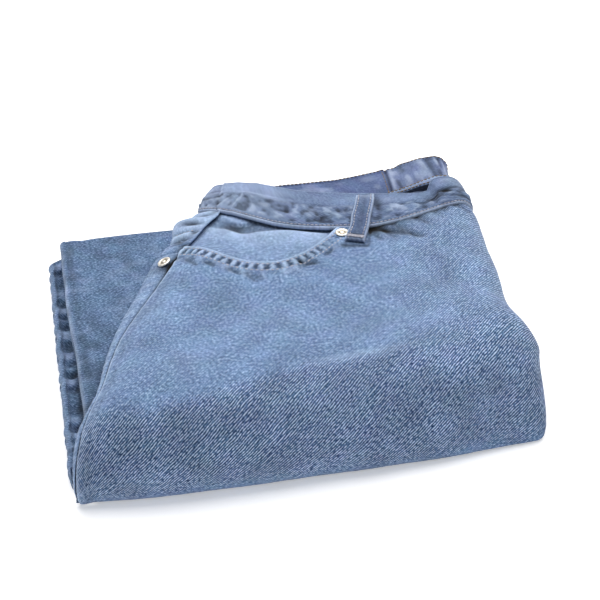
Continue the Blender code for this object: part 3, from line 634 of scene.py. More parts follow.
MARKS = np.array([
    # from x, y, z to x, y, z, width, height, shade, wear
    # dimples below the pocket opening's second row of stitches, darkened with painted shade
    (-73.9, -15.3, 53.2, -69.4, -26.5, 56.4, 2.2, -1.1, 0.50, 0.0),
    (-63.8, -25.6, 57.3, -59.6, -31.2, 57.5, 1.9, -1.0, 0.46, 0.0),
    (-50.9, -36.7, 57.5, -45.2, -42.4, 57.5, 2.1, -1.1, 0.42, 0.0),
    (-41.0, -43.3, 57.5, -37.5, -51.5, 57.5, 2.0, -1.1, 0.42, 0.0),
    (-35.1, -47.7, 57.5, -33.3, -51.3, 57.5, 1.7, -0.8, 0.36, 0.0),
    (-6.1, -38.8, 57.5, 2.3, -40.5, 57.5, 2.2, -1.0, 0.42, 0.0),
    (-79.3, -9.3, 49.4, -78.3, -13.9, 50.9, 1.5, -0.6, 0.30, 0.0),
    (9.5, -33.0, 57.2, 16.0, -27.0, 57.0, 1.8, -0.6, 0.26, 0.0),
    # pale ridges that run out from the same row
    (-52.2, -33.8, 57.5, -49.3, -41.7, 57.5, 1.0, 0.6, 0.0, 0.5),
    (-44.0, -39.7, 57.5, -42.8, -47.3, 57.5, 0.9, 0.6, 0.0, 0.5),
    (-11.8, -42.8, 57.5, -5.3, -52.7, 57.5, 1.0, 0.6, 0.0, 0.5),
    (-19.3, -44.4, 57.5, -18.3, -51.0, 57.5, 1.0, 0.4, 0.0, 0.35),
    (-58.6, -28.2, 57.5, -53.7, -35.4, 57.5, 1.0, 0.5, 0.0, 0.4),
    (-32.3, -45.3, 57.5, -30.9, -51.7, 57.5, 0.9, 0.4, 0.0, 0.35),
    (-66.0, -19.0, 55.5, -58.0, -26.0, 57.3, 0.9, 0.3, 0.0, 0.35),
    # puckers below the waistband, right of the belt loop, and at the right-hand fold, with painted shade in
    # their troughs and wear on their crests
    (43.2, -10.3, 56.4, 46.0, -22.0, 57.3, 3.4, -1.0, 0.34, 0.0),
    (51.2, -12.2, 56.6, 56.2, -24.0, 57.4, 2.8, -0.6, 0.16, 0.0),
    (57.6, -5.2, 56.3, 63.0, -14.4, 57.1, 2.6, -0.7, 0.22, 0.0),
    (64.3, -11.6, 56.7, 70.1, -25.0, 57.4, 2.8, -0.5, 0.12, 0.0),
    (75.4, -1.6, 56.3, 80.1, -10.1, 57.0, 3.0, -0.7, 0.26, 0.0),
    (88.0, 4.0, 56.2, 92.0, -5.0, 56.8, 2.8, -0.5, 0.16, 0.0),
    (43.0, -7.0, 56.4, 73.0, -24.0, 57.3, 3.6, -1.0, 0.34, 0.0),
    (103.1, 7.9, 55.9, 111.4, 1.1, 53.1, 2.6, -0.8, 0.34, 0.0),
    (48.1, -14.4, 56.5, 51.6, -24.1, 57.4, 1.6, 0.5, 0.0, 0.24),
    (61.2, -12.9, 56.6, 66.2, -24.0, 57.4, 1.6, 0.4, 0.0, 0.20),
    (83.8, -1.8, 56.3, 88.5, -12.0, 57.1, 1.6, 0.4, 0.0, 0.20),
    (70.0, -5.0, 56.4, 75.0, -17.0, 57.2, 1.5, 0.4, 0.0, 0.18),
    # shadow of the belt loop's foot
    (22.5, -25.6, 57.3, 36.0, -29.2, 57.5, 2.4, -0.3, 0.60, 0.0),
    (37.5, -27.0, 57.4, 43.0, -9.0, 56.4, 1.6, -0.3, 0.45, 0.0),
])


# %% Relief of the creases and marks
def beside_stroke(points, row):
    """Distance of points from the stroke that a row begins with, and how far along it they are."""
    a, ab = row[0:3], row[3:6] - row[0:3]
    t = (points - a) @ ab / (ab @ ab)
    return np.linalg.norm(points - a - np.clip(t, 0.0, 1.0)[..., None] * ab, axis=-1), t


def mark_relief(points):
    """Height, painted shade and wear of the short marks near the seams."""
    height, shade, wear = (np.zeros(points.shape[:-1]) for _ in range(3))
    for row in MARKS:
        gap, t = beside_stroke(points, row)
        here = bell(gap, 0.0, row[6] * (1.15 - 0.55 * np.clip(t, 0.0, 1.0)))
        height += 1.1 * row[7] * here
        shade += 1.15 * row[8] * here
        wear += row[9] * here
    return height, shade, wear


def crease_relief(points):
    """Height in mm that the hand-placed creases add at each point."""
    relief = np.zeros(points.shape[:-1])
    for row in CREASES:
        gap, t = beside_stroke(points, row)
        relief -= row[7] * bell(gap, 0.0, row[6]) * soft_step(-0.4, 0.3, t) * (1 - soft_step(0.7, 1.4, t))
    x, y, z = np.moveaxis(points, -1, 0)
    relief += 0.16 * np.sin(x * 0.11 + 2 * np.sin(y * 0.07))
    relief += 0.13 * np.sin(y * 0.16 + 1.5 * np.sin(x * 0.05) + z * 0.1)
    return relief


print(len(CREASES), "creases and", len(MARKS), "short marks")


# %% [markdown]
# The front panel ends in the curved pocket opening: its edge is turned under twice and held by two rows of
# stitches, which pull the double cloth into small puckers. The same pull shows along the side seam and under
# the waistband. Puckers are paler on their crests, where washing rubs them, and their dips are darkened with
# painted shade.

# %% Front panel
# Where the front bend begins: place across the panel, place down it, and how wide the change is.
BEND_ROWS = ((0.0, 0.15, 0.3, 0.45, 0.6, 0.72, 0.8, 0.9, 1.0),
             (9.8, 9.8, 9.4, 9.0, 9.0, 8.8, 8.4, 8.0, 7.8),
             (1.2, 1.0, 0.8, 0.6, 0.6, 1.6, 3.0, 3.4, 3.4))
# Darker and paler areas on the top: x, y, reach in x, reach in y, darker, paler. Most are cloudy wash; the
# three rows at x 50 to 66, below the waistband right of the belt loop, are painted shade under the band.
PATCHES = [
    (-62.0, -62.0, 13.0, 17.0, 0.22, 0.0), (-14.0, -65.0, 11.0, 8.0, 0.20, 0.0),
    (-104.0, -98.0, 9.0, 9.0, 0.14, 0.0), (-117.0, -117.0, 8.0, 8.0, 0.12, 0.0),
    (-79.0, -110.0, 6.0, 6.0, 0.12, 0.0), (-36.0, -93.0, 28.0, 14.0, 0.0, 0.10),
    (-89.0, -120.0, 16.0, 12.0, 0.0, 0.10), (-96.0, -66.0, 12.0, 12.0, 0.0, 0.10),
    (66.0, -18.0, 27.0, 13.0, 0.28, 0.0), (62.0, -3.0, 22.0, 5.0, 0.28, 0.0),
    (50.0, -12.0, 10.0, 9.0, 0.20, 0.0), (51.0, -98.0, 10.0, 11.0, 0.12, 0.0),
    (80.0, -60.0, 7.0, 14.0, 0.10, 0.0), (30.0, -48.0, 18.0, 14.0, 0.10, 0.0),
    (15.0, -110.0, 24.0, 10.0, 0.0, 0.06), (104.0, -30.0, 7.0, 22.0, 0.0, 0.10),
]
OPENING_SHARE = 0.45      # share of the panel's upper edge that the pocket opening takes
PUCKER_STEP = 5.6         # mm from one pucker of the opening's hem to the next


def panel_start(s):
    """Upper boundary of the panel: first the pocket opening, then the waistband seam."""
    s = np.asarray(s, dtype=float)
    early = smooth_line(opening_uv, np.minimum(s / OPENING_SHARE, 1.0))
    rest = (s - OPENING_SHARE) / (1 - OPENING_SHARE)
    late = np.stack([opening_end + (1 - opening_end) * rest, 0 * s], axis=-1)
    return np.where((s < OPENING_SHARE)[..., None], early, late)


# %% [markdown]
# The relief of the panel is a sum of soft steps, bells and patches, each placed by its distance from a seam.
# The same terms give the wear and the painted shade, so that a crest is both high and pale, as it is where a
# washing machine rubs it, and a dip is both low and darkened. Sculpting could do this as well, but not to a
# measure.

# %% Relief, wear and shade of the panel
def panel_relief(base, u, v):
    """Relief, wear, painted shade and twill of the front panel at points of its plain surface."""
    hem, hem_run = line_distance(base, opening_line)
    waist, waist_run = line_distance(base, waist_line)
    side, side_run = line_distance(base, side_line)
    x, y, z = np.moveaxis(base, -1, 0)
    creases = crease_relief(base)
    relief = creases * soft_step(2, 22, hem) * soft_step(0, 14, waist) * soft_step(0, 14, side)
    # The turned hem of the pocket opening: squares between its two rows, pale with wear on their crests and
    # dark with painted shade in their dips.
    inside = (1 - soft_step(8.6, 10.6, hem))
    relief += 0.65 * inside + 0.3 * bell(hem, 0.7, 0.8)
    ladder = np.sin(2 * np.pi * hem_run / PUCKER_STEP + 0.9 * np.sin(hem_run / 7.0))
    ladder = np.clip(2.2 * (ladder + 0.35 * patchy(hem_run, hem, 3.0, 4)), -1, 1)
    pull = soft_step(1.6, 3.0, hem) * (1 - soft_step(6.6, 8.2, hem))
    pull = pull * (1 - 0.6 * soft_step(92.0, 106.0, hem_run))
    relief += pull * 0.42 * ladder - 0.32 * bell(hem, 1.7, 0.7) - 0.32 * bell(hem, 8.2, 0.8)
    below = bell(hem, 11.0, 2.4)
    tug = patchy(hem_run, 0.4 * hem, 4.2, 9)
    relief += 0.4 * below * tug
    # The side seam stands proud: a pale ridge at its edge with even puckers beside it.
    side_ripple = wobble(side_run, 8.0, 1.9)
    relief += 0.7 * (1 - soft_step(2.0, 8.5, side)) + bell(side, 4.0, 5.0) * 0.16 * side_ripple
    # Small pulls under the waistband and soft unevenness over the whole panel.
    waist_pull = patchy(waist_run, 0.5 * waist, 5.5, 12)
    relief += bell(waist, 2.0, 5.0) * 0.35 * waist_pull
    flat = soft_step(9, 16, hem)
    relief += 0.10 * flat * (patchy(x, y + z, 7.0, 21) + 0.7 * patchy(x + 0.6 * y, y - z, 3.6, 22))
    height, dark, pale = mark_relief(base)
    relief += height
    wear = 0.85 * bell(hem, 0.2, 1.3) + 0.80 * pull * soft_step(0.1, 0.8, ladder) + 0.25 * bell(hem, 8.4, 1.0)
    wear += 0.9 * bell(side, 0.3, 1.2) + 0.2 * bell(side, 4.0, 3.0) * soft_step(0.1, 0.9, side_ripple)
    wear += pale + 0.30 * below * soft_step(0.1, 0.8, tug)
    # Painted shade: in the dark squares between the hem's rows and in the dips below it, beside the side
    # seam's ridge, in a line under the waistband and in its pulls, and in the dimples of the marks.
    shade = 0.62 * pull * soft_step(0.0, 0.8, -ladder)
    shade = shade + 0.30 * bell(hem, 10.6, 1.2) * soft_step(-0.3, 0.7, -tug)
    shade += 0.14 * bell(side, 6.5, 2.4) + 0.55 * bell(waist, 0.0, 1.2) + dark
    shade += 0.30 * bell(waist, 1.8, 2.4) * soft_step(0.50, 0.60, u)
    shade += 0.30 * bell(waist, 2.5, 4.0) * soft_step(0.0, 0.8, -waist_pull)
    # The bend at the front: pale and flat above it, then a thin pale line on the crest, partly rubbed wear
    # and partly a painted highlight, then bold twill darkened by painted shade, where the front turns away
    # from the light.
    bend = np.interp(u, BEND_ROWS[0], BEND_ROWS[1]) + 0.10 * patchy(x, 0 * x, 17.0, 33)
    reach = np.interp(u, BEND_ROWS[0], BEND_ROWS[2])
    top = 1 - soft_step(0.0, 1.0, (v - bend) / reach + 0.5)
    wear += 0.13 * top * (1 - 0.5 * inside) + 0.30 * bell(v, 8.85, 0.16) * bell(u, 0.57, 0.12)
    shade += (0.10 * bell((v - bend) / reach, 1.0, 0.8) + 0.05) * (1 - top) * (1 - soft_step(0.66, 0.8, u))
    for cx, cy, wide, long, dark, pale in PATCHES:
        here = bell(x, cx, wide) * bell(y, cy, long) * (0.75 + 0.35 * patchy(x, y, 6.5, 34))
        shade, wear = shade + dark * here, wear + pale * here
    # A little darker overall and in cloudy patches, with painted shade in the crease troughs.
    shade += 0.055 + 0.09 * patchy(x, y + z, 16.0, 31) + 0.02 * np.maximum(-creases, 0)
    # The diagonals are bold on the front fold, rubbed flat on top and faint near the table.
    twill = 1.0 - (0.80 - 0.36 * soft_step(0.50, 0.85, u)) * top
    twill = twill * (0.35 + 0.65 * soft_step(4.0, 15.0, z + 3 * patchy(x, 0 * x, 9.0, 35)))
    return relief, wear, shade, twill * (1 - 0.6 * inside)


def lifted(fn, a, b, height):
    """Point of a surface moved out along its normal."""
    e = 0.004
    n = unit(np.cross(fn(a, b + e * 4) - fn(a, b - e * 4), fn(a + e, b) - fn(a - e, b)))
    return fn(a, b) + n * np.asarray(height)[..., None], n


CLOTH = 1.3               # thickness of the panels' cloth in mm


def above_table(outer, inner):
    """Both faces of a cloth kept just above the table."""
    outer[..., 2], inner[..., 2] = np.maximum(outer[..., 2], 0.5), np.maximum(inner[..., 2], 0.9)
    return outer, inner


# %% [markdown]
# The grid of the panel starts along the pocket opening and the waistband seam and runs down to the
# table. Its lines bend quickly below the opening, so that they cross the turned hem squarely.

# %% Build the panel
s = np.linspace(0, 1, 210)
u0, v0 = (panel_start(s)[:, k, None] for k in (0, 1))
# The opening curls back to the left at its end, so the grid lines bend clear of it quickly there.
end_u = np.interp(s, [0, 0.1, 0.2, 0.3, 0.38, 0.45, 0.6, 0.8, 1],
                  [0, 0.076, 0.165, 0.30, 0.44, 0.505, 0.62, 0.79, 1])[:, None]
bend_over = np.interp(s, [0.28, 0.38], [6.0, 1.3])[:, None]
t = np.linspace(0, 1, 168) ** 1.06
v = v0 + (LAST - v0) * t
blend = soft_step(0.0, 1.0, np.minimum(1.0, (v - v0) / bend_over))
u = np.clip(u0 + (end_u - u0) * blend, 0.002, 1.0)
relief, wear, shade, twill = panel_relief(top_point(u, v), u, v)
outer, normal = lifted(top_point, u, v, relief)
outer[..., 2] = np.maximum(outer[..., 2], 0.5)
outer, inner = above_table(outer, outer - normal * CLOTH)
front_panel = cloth_shell("front_panel", outer, inner, top_uv(u, v), wear, shade, denim, twill)

# %% [markdown]
# Beyond the side seam the back of the jeans turns over the left edge of the bundle. Above, the
# yoke ends in a thick flat-felled seam; below it the back panel is a narrow strip.

# %% Yoke and side strip
YOKE_MARKS = np.array([
    # w, v, reach in w, reach in v, height, shade, wear
    (0.30, 0.34, 0.07, 0.07, -0.9, 0.70, 0.0), (0.30, 0.18, 0.16, 0.05, 0.7, 0.0, 0.50),
    (0.22, 0.14, 0.05, 0.14, -1.0, 0.60, 0.0), (0.42, 0.03, 0.30, 0.05, -0.6, 0.55, 0.0),
    (0.32, 0.50, 0.12, 0.10, 0.5, 0.0, 0.25), (0.31, 0.68, 0.13, 0.06, -1.6, 0.85, 0.0),
    (0.52, 0.66, 0.10, 0.12, 0.8, 0.0, 0.50), (0.26, 0.80, 0.14, 0.05, 0.7, 0.0, 0.40),
    (0.40, 0.90, 0.14, 0.03, -0.6, 0.50, 0.0), (0.15, 0.97, 0.06, 0.09, -1.2, 0.80, 0.0),
    (0.30, 1.02, 0.16, 0.06, 1.2, 0.0, 0.60), (0.34, 1.20, 0.20, 0.085, -2.4, 0.98, 0.0),
    (0.62, 0.95, 0.10, 0.25, 0.4, 0.0, 0.35), (0.62, 0.45, 0.06, 0.10, -0.6, 0.45, 0.0),
    (0.30, 1.42, 0.20, 0.08, 0.6, 0.0, 0.30), (0.10, 1.62, 0.10, 0.10, -0.8, 0.60, 0.0),
    (0.34, 1.70, 0.12, 0.05, 0.4, 0.0, 0.40), (0.12, 1.85, 0.10, 0.20, -0.8, 0.45, 0.0),
])


def add_marks(marks, a, b, height, shade, wear):
    """Adds short marks of a table, placed by the surface's own two parameters."""
    for row in marks:
        here = bell(a, row[0], row[2]) * bell(b, row[1], row[3])
        height, shade, wear = height + row[4] * here, shade + row[5] * here, wear + row[6] * here
    return height, shade, wear


STATION_STEP = 19.0       # mm from one station of the side seam to the next, on average


def edge_surface(w, v):
    """Relief of the cloth beyond the side seam."""
    base = edge_point(w, v)
    ripple = wobble(v * STATION_STEP, 8.0, 2.6)
    yoke = 1 - soft_step(1.9, 2.05, v)
    relief = 0.25 * ripple * bell(w, 0.25, 0.3) * (1 - yoke) + yoke * 0.7
    wear = (0.22 + 0.30 * bell(w, 0.28, 0.18) * soft_step(-0.3, 0.9, ripple)) * (1 - yoke)
    wear = wear + yoke * (0.58 - 0.42 * soft_step(1.1, 1.35, v))
    # Painted shade: a dark line in the groove along the side seam, a dark wedge beside the panel's edge below
    # the yoke, and the part tucked in near the table.
    shade = 0.02 * yoke + 0.65 * bell(w, 0.0, 0.09) * soft_step(1.2, 2.2, v) + 0.06 * (1 - yoke)
    shade = shade + 0.70 * bell(w, 0.0, 0.40) * bell(v, 2.85, 0.40)
    shade = shade + 0.35 * soft_step(0.55, 1.0, w) * (v > 8.5)
    # A dip on the side strip, darkened with painted shade.
    pit = bell(base[..., 0], -74.5, 4.5) * bell(base[..., 1] - 0.1 * base[..., 0], 15.0, 2.0)
    relief, shade = relief - 1.0 * pit, shade + 0.75 * pit
    # The thick felled seam lies twisted here: a knot that stands out to the left, with short folds. The marks
    # darken its folds and hollows with painted shade and pale its crests with wear.
    relief = relief + yoke * 4.4 * bell(w, 0.50, 0.24) * bell(v, 0.62, 0.24) + yoke * 1.2 * bell(v, 0.7, 0.35)
    relief, shade, wear = add_marks(YOKE_MARKS, w, v, relief, shade, wear)
    return base, relief, wear, shade


# %% Build the yoke and the side strip
SEAM_GAP = 0.45           # mm between the panel and the cloth beyond the side seam


def beyond_seam(name, v0, v1, rows):
    """A piece of the cloth beyond the side seam, between two stations."""
    w, v = grid_of(np.linspace(0.0, 1.0, 30), np.linspace(v0, v1, rows))
    start = np.interp(v, [0.0, 0.4, 0.8, 1.2, 1.5], [0.20, 0.13, 0.09, 0.05, 0.012])
    w = start + (1 - start) * w
    base, relief, wear, shade = edge_surface(w, v)
    normal = lifted(edge_point, w, v, relief)[1]
    if np.mean(np.sum(normal * middle_normal(v), axis=-1)) < 0:
        normal = -normal
    away = unit((top_point(np.zeros_like(v), v) - top_point(np.full_like(v, 0.02), v)) * LEVEL)
    outer = base + normal * relief[..., None] + away * SEAM_GAP
    outer, inner = above_table(outer, outer - normal * CLOTH)
    return cloth_shell(name, outer, inner, cloth_uv(base), wear, shade, denim, 0.15)


yoke = beyond_seam("yoke", 0.02, 1.97, 120)
side_strip = beyond_seam("side_strip", 2.0, LAST, 300)

# %% [markdown]
# The pocket facing is the patch of denim seen inside the opening. It lies one cloth lower than the
# panel and sags a little, with a curved crease where a hand pushes it in.

# %% Pocket facing
FACING_CLOTH = 1.1        # mm, a single cloth
line = smooth_line(opening_uv, np.linspace(0, 1, 200))
order = np.argsort(line[:, 0])
i, j = np.linspace(0, 1, 110)[:, None], np.linspace(0, 1, 80)[None, :]
u = -0.12 + (opening_end + 0.155) * i + 0 * j
v_open = np.interp(u, *line[order].T)
v = -0.5 + (np.maximum(v_open + 0.42, 0.55) + 0.5) * j
u = u + 0.09 * soft_step(0.6, 1.5, v) * np.maximum(0.0, 1 - i / 0.15)
above = np.minimum(v, 0.0)[..., None]
v = np.maximum(v, 0.0)
base = top_point(u, v) + above * np.array([-6.0, -30.0, 3.0])
seam_z = top_point(np.zeros_like(v), v)[..., 2] + 3.0 * above[..., 0]
base[..., 2] = np.where(u < 0, seam_z + 26.0 * u, base[..., 2])
hem, _ = line_distance(base, opening_line)
x, y = base[..., 0], base[..., 1]
# A ridge falls to the right, with a hollow at the upper left beyond it and a slack upper edge.
crest_line = np.array([
    (-58.0, 21.0, 0.0), (-52.0, 17.0, 0.0), (-46.0, 13.5, 0.0), (-42.0, 8.8, 0.0), (-37.5, 3.6, 0.0),
    (-31.8, 1.4, 0.0), (-26.5, 2.6, 0.0), (-20.5, 1.9, 0.0), (-12.0, 1.2, 0.0), (-3.0, -1.0, 0.0),
    (5.5, -4.7, 0.0), (13.0, -8.5, 0.0),
])
crest, _ = line_distance(base * LEVEL, crest_line)
beyond = y - np.interp(x, crest_line[:, 0], crest_line[:, 1])
hollow = soft_step(-0.5, 4.5, beyond) * (1 - soft_step(12.0, 17.5, beyond))
hollow = hollow * bell(x, -41.0 + 0.25 * beyond, 10.0) * (0.78 + 0.22 * soft_step(2.0, 11.0, beyond))
recess = soft_step(1.0, 5.0, beyond) * soft_step(-33, -27, x)
sag = np.sin(np.pi * np.minimum(j * 1.05, 1.0)) * np.sin(np.pi * i)
depth = 2.1 + 0.9 * sag + 2.2 * hollow - 1.0 * bell(crest, 0, 3.0)
depth = depth + 0.8 * recess - 0.15 * patchy(x, y, 6.0, 41)
normal = lifted(top_point, np.maximum(u, 0.0), v, 0 * u)[1]
outer = base - normal * depth[..., None]
# Painted shade: along the opening's edge, where the panel overhangs the facing, in the hollow, in the recess
# under the waistband, beyond the crest and down the slope at the left.
shade = 0.42 * (1 - soft_step(0.0, 3.0, hem)) + 0.78 * hollow + 0.34 * recess
shade = shade + 0.12 * bell(crest, 4.5, 2.5) * (beyond > 0) + 0.45 * soft_step(0.045, 0.08, -u)
shade = shade + 0.06 * patchy(x, y, 9.0, 42) + 0.10 * soft_step(-8.0, -2.0, -hem) * (hem < 8)
wear = 0.22 + 0.45 * bell(crest, 0.5, 3.5) + 0.2 * bell(beyond, -8.0, 6.0)
wear = wear + 0.35 * bell(beyond, 19.0, 2.6) * bell(x, -41.0, 11.0)
facing = cloth_shell("pocket_facing", outer, outer - normal * FACING_CLOTH, cloth_uv(base), wear, shade,
                     denim, 0.35)

# %% [markdown]
# The waistband is a doubled strip, sewn along both edges. Washing shrinks the thread more than the
# cloth, so the lower half is mottled with puckers, and a long crease runs at mid height where the
# two cloths part. At its right end the band's upper edge steps up.

# %% Waistband, front
BAND_LENGTH, BAND_HEIGHT, BAND_CLOTH = 153.0, 34.0, 2.6    # mm; it is two cloths thick
BAND_ROWS = np.array([
    # place along the seam, then the step in x, y and z from the seam to the upper edge
    (-1.0, 14.5, 27.0, 0.0), (-0.35, 15.5, 27.5, 1.5), (0.0, 18.5, 24.5, 2.5),
    (0.146, 16.4, 29.0, 2.0), (0.28, 12.4, 33.5, 1.5), (0.38, 8.2, 34.5, 1.5),
    (0.543, 3.0, 32.0, 1.5), (0.70, -2.0, 27.4, 0.0), (0.842, -3.0, 23.6, -2.4),
    (0.862, -2.0, 26.5, 3.6), (0.92, -1.5, 25.0, 4.2), (1.0, -1.0, 21.0, 3.0),
])


def band_base(s):
    """Line of the waistband seam: side part below 0, front part from 0 to 1."""
    s = np.asarray(s, dtype=float)
    at_side, in_front = edge_point(np.clip(-s, 0, 1), 0 * s), top_point(np.clip(s, 0, 1), 0 * s)
    return np.where((s < 0)[..., None], at_side, in_front)


def band_frame(s):
    """Seam point, direction across the band and outward direction."""
    base = band_base(s)
    d = follow(BAND_ROWS, np.interp(s, BAND_ROWS[:, 0], np.arange(len(BAND_ROWS))))[..., 1:]
    tangent = band_base(np.minimum(s + 0.012, 1.0)) - band_base(np.maximum(s - 0.012, -1.0))
    return base, d, unit(np.cross(tangent, d))


# How far the band's lower edge hangs below the seam, in mm.
BAND_DROP = [(-1.0, 0.0), (-0.6, -3.0), (-0.3, 0.5), (-0.1, 3.2), (0.05, 4.2), (0.15, 4.8), (0.22, 4.2),
             (0.3, 3.0), (0.42, 2.4), (0.55, 2.6), (0.66, 1.6), (0.75, 0.4), (0.84, -0.6), (0.90, 0.2),
             (1.0, 0.6)]
BAND_MARKS = np.array([
    # s, t, reach in s, reach in t, height, shade, wear
    (-0.42, 0.62, 0.12, 0.035, -0.3, 0.35, 0.0), (-0.45, 0.36, 0.12, 0.04, -0.3, 0.40, 0.0),
    (-0.40, 0.50, 0.12, 0.05, 0.2, 0.0, 0.25), (-0.42, 0.06, 0.12, 0.05, 0.3, 0.0, 0.60),
    (-0.27, 0.20, 0.03, 0.10, -0.5, 0.45, 0.0), (0.10, 0.66, 0.12, 0.10, -0.5, 0.18, 0.0),
    (0.02, 0.56, 0.13, 0.025, 0.5, 0.0, 0.35), (0.13, 0.49, 0.07, 0.025, 0.5, 0.0, 0.30),
    (0.06, 0.33, 0.05, 0.06, -0.6, 0.28, 0.0), (-0.02, 0.42, 0.05, 0.05, -0.6, 0.20, 0.0),
    (0.17, 0.30, 0.035, 0.05, -0.6, 0.30, 0.0), (0.27, 0.34, 0.03, 0.09, 0.5, 0.0, 0.35),
    (0.31, 0.22, 0.02, 0.09, -0.6, 0.30, 0.0), (0.37, 0.30, 0.03, 0.06, 0.5, 0.0, 0.25),
    (0.42, 0.38, 0.05, 0.05, -0.6, 0.25, 0.0), (0.575, 0.62, 0.022, 0.26, -0.8, 0.62, 0.0),
    (0.63, 0.62, 0.03, 0.10, 0.5, 0.0, 0.22), (0.66, 0.36, 0.035, 0.07, 0.5, 0.0, 0.30),
    (0.71, 0.42, 0.02, 0.07, -0.5, 0.22, 0.0), (0.83, 0.60, 0.03, 0.20, -0.9, 0.30, 0.0),
    (0.88, 0.45, 0.03, 0.12, -0.8, 0.35, 0.0), (0.91, 0.80, 0.03, 0.08, 0.6, 0.0, 0.30),
    (0.93, 0.52, 0.02, 0.12, 0.6, 0.0, 0.30), (0.965, 0.60, 0.02, 0.14, -0.5, 0.25, 0.0),
])


def band_surface(s, t):
    """Face of the front waistband; s along, t from the seam up."""
    s, t = floats(s, t)
    base, d, up = band_frame(s)
    run, rise = s * BAND_LENGTH, t * BAND_HEIGHT
    drop = np.interp(s, *np.array(BAND_DROP).T) * (1 - soft_step(0.0, 0.55, t))
    # The lower half shrinks into uneven dimples; the upper half stays nearly plain.
    dimple = 0.9 * patchy(run, 1.25 * rise, 4.6, 51) + 0.6 * patchy(run + 0.5 * rise, 1.2 * rise, 2.3, 52)
    low_half = soft_step(0.08, 0.12, t) * (1 - soft_step(0.44, 0.58, t))
    middle = 0.50 + 0.03 * wobble(run, 40, 1.0)
    high = 1.2 * np.sin(np.pi * t) + 1.4 * np.minimum(1.0, 0.45 + t * 7)
    high += 0.6 * bell(t, 0.008, 0.014) - 0.6 * bell(t, 0.045, 0.02) + 0.85 * dimple * low_half
    high -= 0.5 * bell(t, middle, 0.05) * soft_step(0.1, 0.3, s)
    high += 0.22 * patchy(run, rise, 8.0, 53) * bell(t, 0.8, 0.2) - 0.25 * bell(t, 0.93, 0.02)
    high -= 1.4 * soft_step(0.965, 1.0, t) ** 2
    wear = 1.0 * bell(t, 0.008, 0.014) + 0.50 * low_half * soft_step(0.2, 0.9, dimple)
    wear += 1.0 * bell(t, 1.0, 0.03) + 0.30 * (1 - soft_step(-0.05, 0.30, s)) + 0.10
    wear += 0.18 * bell(t, 0.70, 0.12) * soft_step(-0.5, 0.8, patchy(run, rise, 14.0, 54))
    # Painted shade: in the groove above the rolled lower edge, in the dimples, along the mid-height crease
    # and in the groove below the upper edge; the lower half and the front part are also a little darker.
    shade = 0.36 * bell(t, 0.042, 0.022) + 0.50 * low_half * soft_step(0.0, 0.8, -dimple)
    shade += 0.10 * low_half + 0.05 * soft_step(0.0, 0.3, s)
    shade += 0.16 * bell(t, middle, 0.045) + 0.16 * bell(t, 0.93, 0.02) + 0.08 * patchy(run, rise, 10.0, 55)
    # A sharp vertical crease where the band turns the side of the waist, with painted shade on its left, and
    # short marks with painted shade in their dips.
    turn = (s + 0.24 + 0.14 * t) * BAND_LENGTH
    high -= 1.0 * bell(turn, 0.0, 1.6) - 0.5 * bell(turn, 3.5, 2.0)
    shade += 0.30 * bell(turn, -1.0, 1.6) + 0.14 * soft_step(0.0, 3.0, -turn)
    wear += 0.35 * bell(turn, 2.2, 1.3)
    high, shade, wear = add_marks(BAND_MARKS, s, t, high, shade, wear)
    point = base + unit(d) * (0.25 - drop[..., None]) + d * t[..., None] + up * high[..., None]
    return point, up, wear, shade


# %% Build the front band
# The columns stand closer together where the upper edge steps up.
s = np.concatenate([np.linspace(-1.0, 0, 50)[:-1], np.linspace(0, 0.79, 190)[:-1],
                    np.linspace(0.79, 0.875, 30)[:-1], np.linspace(0.875, 1.0, 60)])
outer, up, wear, shade = band_surface(*grid_of(s, np.linspace(0, 1, 64)))
front_band = cloth_shell("waistband_front_cloth", outer, outer - up * BAND_CLOTH, cloth_uv(outer),
                         wear, shade, denim_band, 0.5)

# %% [markdown]
# Where the band's upper edge steps up at the right, its inner cloth parts from the outer one and shows as a
# stitched strip behind a dark gap. The gap is painted shade on the strip's lower part, which turns steeply
# in.

# %% Inner cloth of the waistband
STRIP = np.array([
    # upper edge, then lower edge of the stitched strip
    (58.0, 34.5, 50.5, 60.0, 32.0, 49.0), (66.0, 35.6, 52.6, 66.8, 33.0, 51.0),
    (73.0, 36.6, 53.8, 72.8, 33.8, 52.0), (80.0, 38.0, 54.8, 79.6, 34.6, 53.2),
    (87.4, 40.0, 55.8, 86.7, 36.2, 54.2), (93.8, 41.6, 56.8, 93.9, 37.0, 55.2),
    (101.0, 42.4, 57.6, 100.5, 38.0, 56.6), (108.0, 40.6, 57.8, 107.5, 36.5, 57.0),
])


def strip_surface(s, t):
    """Stitched edge of the inner cloth from its edge (t 0) down, then steeply in (t over 0.5)."""
    rows = follow(STRIP, np.asarray(s) * (len(STRIP) - 1))
    top, low = rows[..., :3], rows[..., 3:]
    t = np.asarray(t)[..., None]
    down = np.maximum(t - 0.5, 0.0) * np.array([0.0, -3.0, -9.0])
    point = top + (low - top) * np.minimum(t / 0.5, 1.0) + down
    point[..., 2] -= 1.2 * bell(t[..., 0], 0.0, 0.09) + 0.4 * bell(t[..., 0], 0.5, 0.08)
    return point


STRIP_BACK = np.array([0.0, 0.77, -0.28])     # mm from the strip's face to its back
s, t = grid_of(np.linspace(0, 1, 90), np.linspace(0, 1, 24))
outer = strip_surface(s, t)
wear = 0.7 * bell(t, 0.10, 0.12) + 0.3 * (t < 0.5)
# Painted shade along the strip's edge and, darkest, on its lower part, for the gap.
shade = 0.30 * bell(t, 0.0, 0.05) + 0.85 * soft_step(0.48, 0.56, t)
strip = cloth_shell("waistband_inner_cloth", outer, outer + STRIP_BACK, cloth_uv(outer), wear, shade,
                    denim_band, 0.4)

# %% [markdown]
# The back of the waistband stands higher than the front, so its inner face shows beyond. It has a
# seam across it where its lining is joined and brown stitching along its edge.

